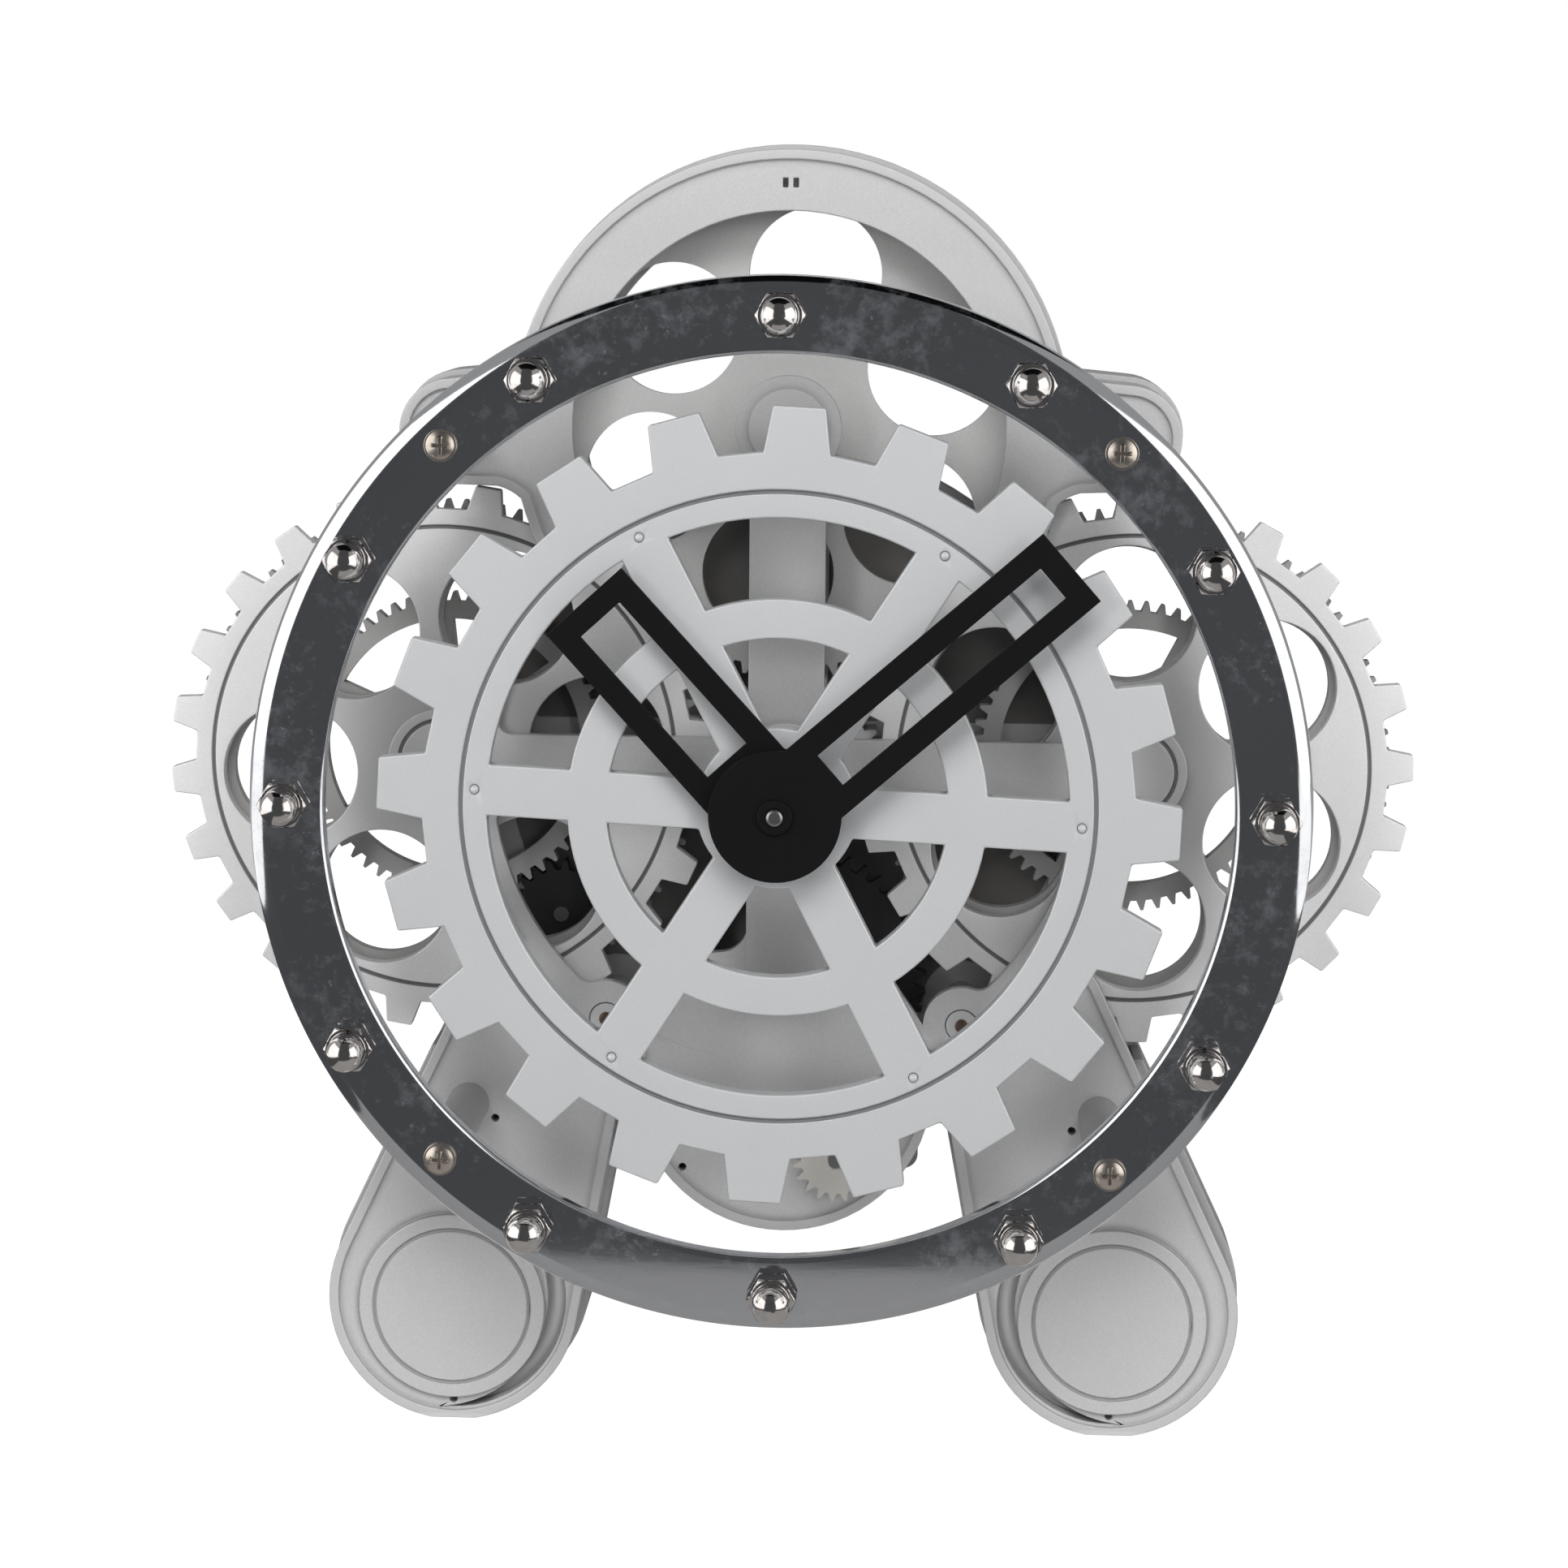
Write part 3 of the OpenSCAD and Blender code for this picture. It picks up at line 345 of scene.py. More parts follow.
def black_lacquer(t, colour, rough):
    """Matt black lacquer with a fine tooth and faint lighter scuffs."""
    tooth_size, cloud_size, scuff_size, tooth_depth = 0.00025, 0.012, 0.0015, 0.000015
    place = t.place()
    tooth = t.noise(tooth_size, 2.0, 0.6, place)
    cloud = t.noise(cloud_size, 3.0, 0.6, place)
    scuff = t.noise(scuff_size, 4.0, 0.7, place, (0.3, 1.0, 1.0)).between(0.66, 0.8)
    base = t.blend(scuff * 0.35, colour, tone(colour, 4.0))
    base = t.blend(cloud * 0.3, base, tone(colour, 1.8))
    roughness = rough + 0.12 * tooth - 0.08 * scuff
    normal = t.relief(tooth, tooth_depth, 0.5)
    t.surface(
        {
            "Base Color": base,
            "Roughness": roughness,
            "Specular IOR Level": 0.2,
            "Normal": normal,
        }
    )


def moulded_plastic(t, colour, rough, shine):
    """Moulded plastic: spark-eroded grain, slight sink marks and a little handling shine."""
    grain_size, sink_size, rub_size = 0.0004, 0.015, 0.006
    grain_depth, sink_depth = 0.00003, 0.0002
    place = t.place()
    grain = t.noise(grain_size, 3.0, 0.6, place)
    sink = t.noise(sink_size, 2.0, 0.5, place)
    rubbed = t.noise(rub_size, 4.0, 0.6, place).between(0.5, 0.8)
    base = t.blend(grain * 0.5, tone(colour, 0.88), tone(colour, 1.1))
    base = t.blend(sink * 0.3, base, tone(colour, 0.8))
    roughness = rough + 0.1 * grain - shine * rubbed
    normal = t.relief(grain, grain_depth, 0.5)
    normal = t.relief(sink, sink_depth, 0.15, normal)
    t.surface({"Base Color": base, "Roughness": roughness, "Normal": normal})


def cell_sleeve(t, colour, metal_colour):
    """A cell's printed sleeve: a coppery end, a dark body and a thin pale band."""
    # the print is measured along x from the middle of the dark part, this far left of the clock's
    # middle, and comes back mirrored after the half length
    dark_left, half_length = 0.0085, 0.0235
    copper_from, pale_from, print_edge = 0.0162, 0.0152, 0.0002
    scuff_size, wrinkle_size, wrinkle_depth = 0.002, 0.003, 0.00003
    place = t.place()
    along = t.node("ShaderNodeSeparateXYZ", None, {"Vector": place}, output="X")
    band = along.math("PINGPONG", along + dark_left, half_length)
    copper = band.between(copper_from, copper_from + print_edge)
    pale = band.between(pale_from, pale_from + print_edge) - copper
    scuff = t.noise(scuff_size, 4.0, 0.7, place).between(0.6, 0.75)
    base = t.blend(copper, colour, metal_colour)
    base = t.blend(pale, base, (0.7, 0.68, 0.62, 1.0))
    base = t.blend(scuff * 0.2, base, (0.4, 0.4, 0.4, 1.0))
    roughness = 0.28 + 0.2 * scuff
    normal = t.relief(t.noise(wrinkle_size, 2.0, 0.5, place), wrinkle_depth, 0.3)
    t.surface(
        {
            "Base Color": base,
            "Metallic": copper * 0.8,
            "Roughness": roughness,
            "Normal": normal,
        }
    )


# Shapes

# Points closer than this, in metres, are one point.
TOUCH = 1e-6
# In degrees: faces that turn less than the first are one face, and edges sharper than the second
# stay sharp when a piece is shaded smooth.
FLAT_TURN = 0.6
SHARP_TURN = 40.0


def arc(centre, radius, start, end, steps):
    """Points on a circle from start to end, in degrees, both included."""
    turns = [math.radians(start + (end - start) * i / steps) for i in range(steps + 1)]
    return [(centre[0] + radius * math.cos(a), centre[1] + radius * math.sin(a)) for a in turns]


def thicken(shape, faces, depth):
    """Grows flat faces backwards into a plate."""
    grown = bmesh.ops.extrude_face_region(shape, geom=faces)["geom"]
    back = [v for v in grown if isinstance(v, bmesh.types.BMVert)]
    bmesh.ops.translate(shape, verts=back, vec=(0, depth, 0))


def dress(node, material):
    """Gives a CAD node that stays its finish."""
    mesh = NODES[node].data
    mesh.materials.clear()
    mesh.materials.append(material)


def finished_piece(shape, name, material, body, nodes):
    """Makes a mesh object of a bmesh, shades it, and puts it in its nodes' place."""
    bmesh.ops.recalc_face_normals(shape, faces=shape.faces)
    mesh = bpy.data.meshes.new(name)
    shape.to_mesh(mesh)
    shape.free()
    mesh.materials.append(material)
    for face in mesh.polygons:
        face.use_smooth = True
    mesh.set_sharp_from_angle(angle=math.radians(SHARP_TURN))
    piece = bpy.data.objects.new(name, mesh)
    bpy.context.scene.collection.objects.link(piece)
    even = piece.modifiers.new("Even shading", "WEIGHTED_NORMAL")
    even.keep_sharp = True
    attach(piece, body)
    if nodes:
        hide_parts(*nodes)
    return piece


def joined_copy(node, whole=True):
    """A bmesh of a CAD node with its loose triangles joined, on request into whole faces."""
    shape = bmesh.new()
    shape.from_mesh(NODES[node].data)
    bmesh.ops.remove_doubles(shape, verts=shape.verts, dist=TOUCH)
    if whole:
        bmesh.ops.dissolve_limit(
            shape,
            angle_limit=math.radians(FLAT_TURN),
            use_dissolve_boundaries=False,
            verts=shape.verts,
            edges=shape.edges,
        )
    return shape


def round_edges(shape, width, segments=2, angle=35.0, choose=None):
    """Rounds the edges that turn by more than an angle."""
    edges = [
        e
        for e in shape.edges
        if e.is_manifold
        and e.calc_face_angle() > math.radians(angle)
        and (choose is None or choose(e))
    ]
    bmesh.ops.bevel(
        shape,
        geom=edges,
        offset=width,
        offset_type="OFFSET",
        segments=segments,
        profile=0.5,
        affect="EDGES",
        clamp_overlap=False,
        material=-1,
    )


# The shells' middle opening and, below the main axis, the lower web that widens the upright bar:
# where it starts, the fillet that ends the bar, the web's shoulder and foot as (half width, drop).
OPENING_R = 0.057
BAR_HALF = 0.0071
WEB_TOP = 0.024
FILLET_TOP = 0.0295
FILLET_R = 0.0055
WEB_SHOULDER = (0.018, 0.0356)
WEB_FOOT = (0.0285, 0.0505)
WEB_T = 0.0022
# The web runs this far into the opening's rim, and its face lies this far behind the plate's.
WEB_OVERLAP = 0.0012
WEB_SINK = 0.00002
# Edges this near to the web, beside it and in depth, count as lying under it.
WEB_MARGIN = 0.0005
WEB_DEPTH_MARGIN = 0.0035


def web_side():
    """One side of the lower web as (half width, drop): the bar, a fillet and a slope."""
    fillet = arc((BAR_HALF + FILLET_R, FILLET_TOP), FILLET_R, 180, 90, 8)
    return [(BAR_HALF, WEB_TOP), *fillet, WEB_SHOULDER, WEB_FOOT]


def half_width(drop):
    """Half the lower web's width at a drop below the main axis."""
    side = web_side()
    for (x0, d0), (x1, d1) in zip(side, side[1:]):
        if drop <= d1:
            return x0 + (x1 - x0) * max(0.0, drop - d0) / max(d1 - d0, TOUCH)
    return side[-1][0]


def on_web(edge):
    """Whether an edge lies where the lower web covers the opening's rim and the bar."""
    spot = (edge.verts[0].co + edge.verts[1].co) / 2
    x = spot.x - AXIS_X
    drop = AXIS_Z - spot.z
    return (
        drop > WEB_TOP
        and abs(x) < half_width(drop) + WEB_MARGIN
        and math.hypot(x, drop) < OPENING_R + WEB_MARGIN
        and abs(spot.y - PLATE_Y) < WEB_DEPTH_MARGIN
    )


def lower_web(shape):
    """Adds the web that widens the upright bar below the axis, out to the opening's rim."""
    side = web_side()
    spread = math.degrees(math.atan2(*WEB_FOOT))
    rim = arc((0, 0), OPENING_R + WEB_OVERLAP, 90 - spread, 90 + spread, 24)
    outline = [*side, *rim, *((-x, drop) for x, drop in reversed(side))]
    front = [
        shape.verts.new((AXIS_X + x, PLATE_Y + WEB_SINK, AXIS_Z - drop)) for x, drop in outline
    ]
    thicken(shape, [shape.faces.new(front)], WEB_T)


def back_panel():
    """A thin panel in the rear shell's middle opening, clear of the shafts that turn."""
    panel_t, overlap, axis_hole_r, clear, steps = 0.001, 0.0005, 0.008, 0.004, 192
    shape = bmesh.new()
    motor = middle("motor_shaft")
    off = math.hypot(motor.x - AXIS_X, motor.z - AXIS_Z)
    bearing = math.atan2(motor.z - AXIS_Z, motor.x - AXIS_X)
    rim = []
    for i in range(steps):
        a = 2 * math.pi * i / steps
        r = OPENING_R + overlap
        along = off * math.cos(a - bearing)
        across = off * math.sin(a - bearing)
        if along > 0 and abs(across) < clear:
            r = min(r, along - math.sqrt(clear ** 2 - across ** 2))
        rim.append((r * math.cos(a), r * math.sin(a)))
    hole = arc((0, 0), axis_hole_r, 0, 345, 23)
    outlines = []
    for loop in (rim, hole):
        corners = [shape.verts.new((AXIS_X + x, PANEL_Y, AXIS_Z + z)) for x, z in loop]
        outlines += [shape.edges.new(pair) for pair in zip(corners, corners[1:] + corners[:1])]
    filled = bmesh.ops.triangle_fill(shape, use_beauty=True, edges=outlines)["geom"]
    thicken(shape, [f for f in filled if isinstance(f, bmesh.types.BMFace)], panel_t)
    return shape


def spun(profile, centre, steps, shape=None):
    """A body turned about the depth axis through centre, from (radius, depth) points."""
    shape = shape or bmesh.new()
    corners = [shape.verts.new((centre[0] + r, y, centre[1])) for r, y in profile]
    edges = [shape.edges.new(pair) for pair in zip(corners, corners[1:])]
    bmesh.ops.spin(
        shape,
        geom=corners + edges,
        cent=(centre[0], 0, centre[1]),
        axis=(0, 1, 0),
        dvec=(0, 0, 0),
        angle=2 * math.pi,
        steps=steps,
        use_merge=True,
        use_duplicate=False,
    )
    bmesh.ops.remove_doubles(shape, verts=shape.verts, dist=TOUCH)
    return shape


# Settings


def length(name, text, default):
    """A length that the sidebar shows."""
    return bpy.props.FloatProperty(
        name=name, description=text, default=default, min=0.0, subtype="DISTANCE", unit="LENGTH",
        precision=5,
    )


def colour(name, text, default):
    """A colour that the sidebar shows."""
    return bpy.props.FloatVectorProperty(
        name=name, description=text, default=default, size=3, min=0.0, max=1.0, subtype="COLOR"
    )


def power(name, text, default):
    """A light's power that the sidebar shows."""
    return bpy.props.FloatProperty(name=name, description=text, default=default, unit="POWER")


class ClockEdges(bpy.types.PropertyGroup):
    """How far each group's edges are rounded"""

    wheel: length("Wheels", "Rounding of the front wheel's edges", 0.0004)
    side: length("Side wheels", "Rounding of the side wheels' edges", 0.0003)
    frame: length("Frame", "Rounding of the frame's edges", 0.0003)
    hands: length("Hands", "Rounding of the hands' edges", 0.00015)
    collar: length("Collar", "Rounding of the hands' collar", 0.0003)
    arbor: length("Arbor", "Rounding of the minute arbor's end", 0.0007)
    ring: length("Ring", "Rounding of the ring's inner edge", 0.0011)
    nuts: length("Nuts", "Rounding of the cap nuts' edges", 0.00012)
    screws: length("Screws", "Rounding of the ring screws' edges", 0.0001)


class ClockColours(bpy.types.PropertyGroup):
    """The colours of the finishes"""

    ring: colour("Ring", "Dark plating of the ring", (0.82, 0.84, 0.87))
    ring_spots: colour("Ring spots", "Dull blotches on the ring", (0.45, 0.5, 0.58))
    nuts: colour("Nuts", "Plating of the cap nuts", (0.86, 0.82, 0.8))
    screws: colour("Screws", "Plating of the ring's screws", (0.8, 0.72, 0.64))
    wheel: colour("Front wheel", "Silver of the front wheel", (0.55, 0.56, 0.57))
    gears: colour("Gears", "Silver of the other wheels", (0.78, 0.78, 0.785))
    shell: colour("Frame", "Silver of the frame's front shell", (0.57, 0.57, 0.575))
    # painted shade: the rear shell's silver is a darker copy of the front shell's
    rear: colour("Rear shell", "Silver of the frame's rear shell", (0.48, 0.48, 0.485))
    hands: colour("Hands", "Black of the hands", (0.004, 0.004, 0.0045))
    plastic: colour("Plastic", "Dark plastic of the movement and gearbox", (0.02, 0.02, 0.022))
    ivory: colour("Ivory", "Light plastic of the pinions", (0.6, 0.58, 0.54))


class StudioSettings(bpy.types.PropertyGroup):
    """The studio's lights and floor"""

    top: power("Top light", "Power of the soft light above", 20.0)
    front: power("Front light", "Power of the light by the camera", 1.5)
    sides: power("Side lights", "Power of each side light", 5.0)
    ambient: bpy.props.FloatProperty(
        name="Ambient", description="Strength of the light from all around", default=0.04
    )
    floor: colour("Floor", "Colour of the floor", (0.7, 0.7, 0.7))


def edges():
    """The scene's roundings."""
    return bpy.context.scene.clock_edges


def colours():
    """The scene's colours."""
    return bpy.context.scene.clock_colours


def studio():
    """The scene's studio settings."""
    return bpy.context.scene.clock_studio


def silver(name, value, rough, flake, metal, lines=()):
    """A sprayed silver finish of one colour."""
    return finish(name, silver_coat, tone(value), rough, flake, metal, lines)


def gear_coat():
    """The wheels' silver, with painted shade along each side wheel's groove line and painted shade
    dimming its middle.
    """
    # painted shade: a dark line in each side wheel's groove, and the coat dimmed toward its hub
    groove_r, groove_w, groove_shade, dim = 0.0453, 0.0007, 0.85, 0.5
    lines = []
    for side in ("left", "right"):
        centre = middle(side + "_hub")
        lines.append(((centre.x, centre.z), groove_r, groove_w, groove_shade, dim))
    return silver("gear_silver", colours().gears, 0.36, 0.05, 0.3, lines)


def steel():
    """The finish of posts, pins and shafts."""
    return finish("turned_steel", turned_steel, (0.58, 0.58, 0.58, 1.0), 0.26)


def dark_plastic():
    """The finish of the movement, the gearbox and the dark pinions."""
    return finish("dark_plastic", moulded_plastic, tone(colours().plastic), 0.42, 0.1)


def cell_wrap():
    """The finish of the cells."""
    return finish("cell_wrap", cell_sleeve, (0.03, 0.03, 0.032, 1.0), (0.62, 0.34, 0.14, 1.0))


# Operators


class CLOCK_OT_bezel_ring(bpy.types.Operator):
    """Turn the pressed ring with its rounded outer edge and rolled inner edge"""

    bl_idname = "clock.bezel_ring"
    bl_label = "Bezel ring"

    def execute(self, context):
        outer = (RING_HIGH.x - RING_LOW.x) / 2
        back = RING_HIGH.y
        sheet_t = 0.0012
        bend = 0.0036
        face_w = 0.0142
        fold_depth = 0.003
        opening = outer - face_w
        lip = edges().ring
        fold = DIAL_Y + fold_depth
        corner = (outer - bend, DIAL_Y + bend)
        profile = [(opening + sheet_t, fold), (opening, fold)]
        profile += arc((opening + lip, DIAL_Y + lip), lip, -180, -90, 6)
        profile += arc(corner, bend, -90, 0, 16)
        profile += [(outer, back), (outer - sheet_t, back)]
        profile += arc(corner, bend - sheet_t, 0, -90, 8)
        profile += [(opening + sheet_t, DIAL_Y + sheet_t), (opening + sheet_t, fold)]
        shape = spun(profile, (AXIS_X, AXIS_Z), 256)
        material = finish(
            "ring_plating", ring_mirror, tone(colours().ring), tone(colours().ring_spots), 0.06
        )
        finished_piece(shape, "bezel_ring_turned", material, "stand", ["bezel_ring"])
        return {"FINISHED"}


class CLOCK_OT_cap_nuts(bpy.types.Operator):
    """Round the edges of the twelve domed nuts, with their chamfered hexagons, and finish their
    bolts
    """

    bl_idname = "clock.cap_nuts"
    bl_label = "Cap nuts"

    def execute(self, context):
        material = finish("nut_plating", plated, tone(colours().nuts), 0.07, 0.5)
        shape = joined_copy("cap_nuts")
        round_edges(shape, edges().nuts, angle=25.0)
        finished_piece(shape, "cap_nuts_polished", material, "stand", ["cap_nuts"])
        dress("nut_bolts", steel())
        return {"FINISHED"}


class CLOCK_OT_ring_screws(bpy.types.Operator):
    """Finish the four small screws, their posts and the posts' rear screws"""

    bl_idname = "clock.ring_screws"
    bl_label = "Ring screws and posts"

    def execute(self, context):
        brassy = finish("screw_plating", plated, tone(colours().screws), 0.25, 0.8)
        shape = joined_copy("ring_screws")
        round_edges(shape, edges().screws, angle=30.0)
        finished_piece(
            shape, "ring_screws_plated", brassy, "stand", ["ring_screws"]
        )
        dress("ring_posts", steel())
        dress("post_screws", steel())
        return {"FINISHED"}


class CLOCK_OT_front_wheel(bpy.types.Operator):
    """Round the front wheel's edges and give it its satin silver"""

    bl_idname = "clock.front_wheel"
    bl_label = "Front wheel"

    def execute(self, context):
        # painted shade: a dark line along the groove in the wheel's face
        line_share, line_w, groove_shade, dim = 0.788, 0.0006, 0.55, 0.0
        line = ((AXIS_X, AXIS_Z), line_share * WHEEL_R, line_w, groove_shade, dim)
        satin = silver("wheel_silver", colours().wheel, 0.36, 0.05, 0.35, (line,))
        shape = joined_copy("front_wheel", whole=False)
        round_edges(shape, edges().wheel)
        finished_piece(
            shape, "front_wheel_satin", satin, "main_wheel", ["front_wheel"]
        )
        dress("wheel_rivets", satin)
        dress("wheel_tube", steel())
        dress("centre_pinion", gear_coat())
        return {"FINISHED"}


class CLOCK_OT_hands(bpy.types.Operator):
    """Round and blacken the hands, and finish the collar, pipe and arbor"""

    bl_idname = "clock.hands"
    bl_label = "Hands"

    def execute(self, context):
        black = finish("hand_black", black_lacquer, tone(colours().hands), 0.5)
        for node, body in (("hour_hand", "hour"), ("minute_hand", "minute")):
            shape = joined_copy(node)
            round_edges(shape, edges().hands)
            finished_piece(shape, node + "_lacquered", black, body, [node])
        for node, material, slot, width in (
            ("hand_collar", black, "hand_black", edges().collar),
            ("minute_arbor", steel(), "steel", edges().arbor),
        ):
            shape = joined_copy(node)
            round_edges(shape, width, segments=4)
            finished_piece(shape, node + "_turned", material, "minute", [node])
        dress("hour_pipe", finish("pipe_brass", turned_steel, (0.6, 0.42, 0.17, 1.0), 0.25))
        return {"FINISHED"}


class CLOCK_OT_side_wheels(bpy.types.Operator):
    """Round and finish the side wheels, the fine wheels, the ring gears and their hubs"""

    bl_idname = "clock.side_wheels"
    bl_label = "Side wheels"

    def execute(self, context):
        coat = gear_coat()
        # painted shade: the fine wheels and ring gears get a darker, warmer copy of the gears'
        # silver
        inner = silver("inner_silver_shaded", (0.46, 0.455, 0.45), 0.4, 0.05, 0.3)
        for side in ("left", "right"):
            gear = side + "_gear"
            shape = joined_copy(gear, whole=False)
            round_edges(shape, edges().side)
            finished_piece(shape, gear + "_coated", coat, side + "_train", [gear])
            dress(side + "_fine_wheel", inner)
            dress(side + "_ring_gear", inner)
            dress(side + "_hub", steel())
        # painted shade: the top wheel gets a darker copy of the gears' silver
        dress("top_wheel", silver("top_silver_shaded", (0.62, 0.615, 0.61), 0.4, 0.05, 0.3))
        dress("top_hub", steel())
        dress("planet_axles", steel())
        return {"FINISHED"}


class CLOCK_OT_frame_shells(bpy.types.Operator):
    """Round the frame's edges and coat its two shells, pillars and screws"""

    bl_idname = "clock.frame_shells"
    bl_label = "Frame"

    def execute(self, context):
        front = silver("frame_silver", colours().shell, 0.38, 0.06, 0.3)
        # painted shade: the rear shell gets a darker copy of the front shell's silver
        rear = silver("frame_rear", colours().rear, 0.42, 0.06, 0.3)
        for node, coat, slot in (
            ("frame_front", front, "frame_silver"),
            ("frame_rear", rear, "frame_rear"),
        ):
            shape = joined_copy(node, whole=False)
            round_edges(shape, edges().frame, choose=lambda e: not on_web(e))
            if node == "frame_front":
                lower_web(shape)
            finished_piece(shape, node + "_coated", coat, "stand", [node])
        dress("frame_pillars", front)
        dress("pillar_screws", front)
        # two small screw heads on the bosses below the side windows
        across, drop = 0.0346, 0.0486
        tip, head_r, slope, height, sink = 0.0001, 0.0013, 0.0004, 0.0002, 0.0003
        profile = [(tip, -height), (head_r - slope, -height), (head_r, 0.0), (head_r, sink)]
        heads = bmesh.new()
        for side in (-1, 1):
            centre = (AXIS_X + side * across, AXIS_Z - drop)
            spun([(r, PLATE_Y + y) for r, y in profile], centre, 32, heads)
        screw = finish("dark_screw", turned_steel, (0.3, 0.22, 0.18, 1.0), 0.3)
        finished_piece(heads, "boss_screw_heads", screw, "stand", [])
        shade = finish("panel_grey", moulded_plastic, (0.15, 0.145, 0.14, 1.0), 0.5, 0.05)
        finished_piece(back_panel(), "back_panel", shade, "stand", [])
        return {"FINISHED"}


class CLOCK_OT_drive(bpy.types.Operator):
    """Finish the gearbox, the motor, the relay wheel and the small pinions"""

    bl_idname = "clock.drive"
    bl_label = "Drive"

    def execute(self, context):
        ivory = finish("ivory", moulded_plastic, tone(colours().ivory), 0.4, 0.06)
        for node in ("shaft_wheel", "front_pinion"):
            dress(node, ivory)
        for node in ("drive_pinion", "relay_wheel", "gearbox_case"):
            dress(node, dark_plastic())
        for node in ("motor_shaft", "relay_pin", "turning_shaft", "drive_motor"):
            dress(node, steel())
        return {"FINISHED"}


class CLOCK_OT_movement(bpy.types.Operator):
    """Finish the quartz movement, its cell and the setting knob"""

    bl_idname = "clock.movement"
    bl_label = "Movement"

    def execute(self, context):
        dress("movement_case", dark_plastic())
        dress("setting_knob", dark_plastic())
        dress("movement_cell", cell_wrap())
        return {"FINISHED"}


class CLOCK_OT_battery_box(bpy.types.Operator):
    """Finish the battery box, its sliding door, the cells and the contacts"""

    bl_idname = "clock.battery_box"
    bl_label = "Battery box"

    def execute(self, context):
        grey = finish("door_grey", moulded_plastic, (0.4, 0.4, 0.41, 1.0), 0.4, 0.1)
        dress("battery_box", grey)
        dress("battery_door", grey)
        dress("battery_cells", cell_wrap())
        dress("battery_springs", steel())
        return {"FINISHED"}


def soft_box(name, place, aim, width, height, power):
    """A rectangular soft light that looks at a point."""
    light = bpy.data.lights.new(name, "AREA")
    light.shape = "RECTANGLE"
    light.size = width
    light.size_y = height
    light.energy = power
    box = bpy.data.objects.new(name, light)
    box.matrix_world = Matrix.Translation(place) @ (
        (Vector(aim) - Vector(place)).to_track_quat("-Z", "Y").to_matrix().to_4x4()
    )
    bpy.context.scene.collection.objects.link(box)
    return box


def sheet(name, corners, build, *details):
    """A flat piece of the studio through four corners."""
    shape = bmesh.new()
    shape.faces.new([shape.verts.new(c) for c in corners])
    mesh = bpy.data.meshes.new(name)
    shape.to_mesh(mesh)
    shape.free()
    mesh.materials.append(finish(name, build, *details))
    piece = bpy.data.objects.new(name, mesh)
    bpy.context.scene.collection.objects.link(piece)
    return piece


def paper(t, value):
    """Pale floor paper that the camera sees as white, with the object's shadow kept."""
    fibre_size, brightness, share_seen, share_mirrored = 0.002, 1.3, 0.8, 0.15
    fibre = t.noise(fibre_size, 3.0)
    base = t.blend(fibre * 0.1, value, tone(value, 0.92))
    lit = t.node("ShaderNodeBsdfDiffuse", None, {"Color": base})
    glow = t.node("ShaderNodeEmission", None, {"Color": (1, 1, 1, 1), "Strength": brightness})
    seen = t.node("ShaderNodeLightPath", output="Is Camera Ray")
    mirrored = t.node("ShaderNodeLightPath", output="Is Glossy Ray")
    share = seen * share_seen + mirrored * share_mirrored
    mixed = t.node("ShaderNodeMixShader", None, {"Fac": share})
    inputs = mixed.socket.node.inputs
    t.tree.links.new(lit.socket, inputs[1])
    t.tree.links.new(glow.socket, inputs[2])
    t.node("ShaderNodeOutputMaterial", None, {"Surface": mixed})


def mirrored_cloth(t, strength, tint):
    """A cloth or screen of the studio, as polished metal sees it."""
    fold_size = 0.25
    weave = t.noise(fold_size, 3.0)
    shade = t.blend(weave.between(0.35, 0.7), tone(tint, 0.9), tone(tint))
    glow = t.node("ShaderNodeEmission", None, {"Color": shade, "Strength": strength})
    t.node("ShaderNodeOutputMaterial", None, {"Surface": glow})


def level_sheet(left, right, near, far, height):
    """The corners of a level sheet, whose left and right sides each run from x near to x far."""
    return [
        (left[0], near, height), (right[0], near, height),
        (right[1], far, height), (left[1], far, height),
    ]


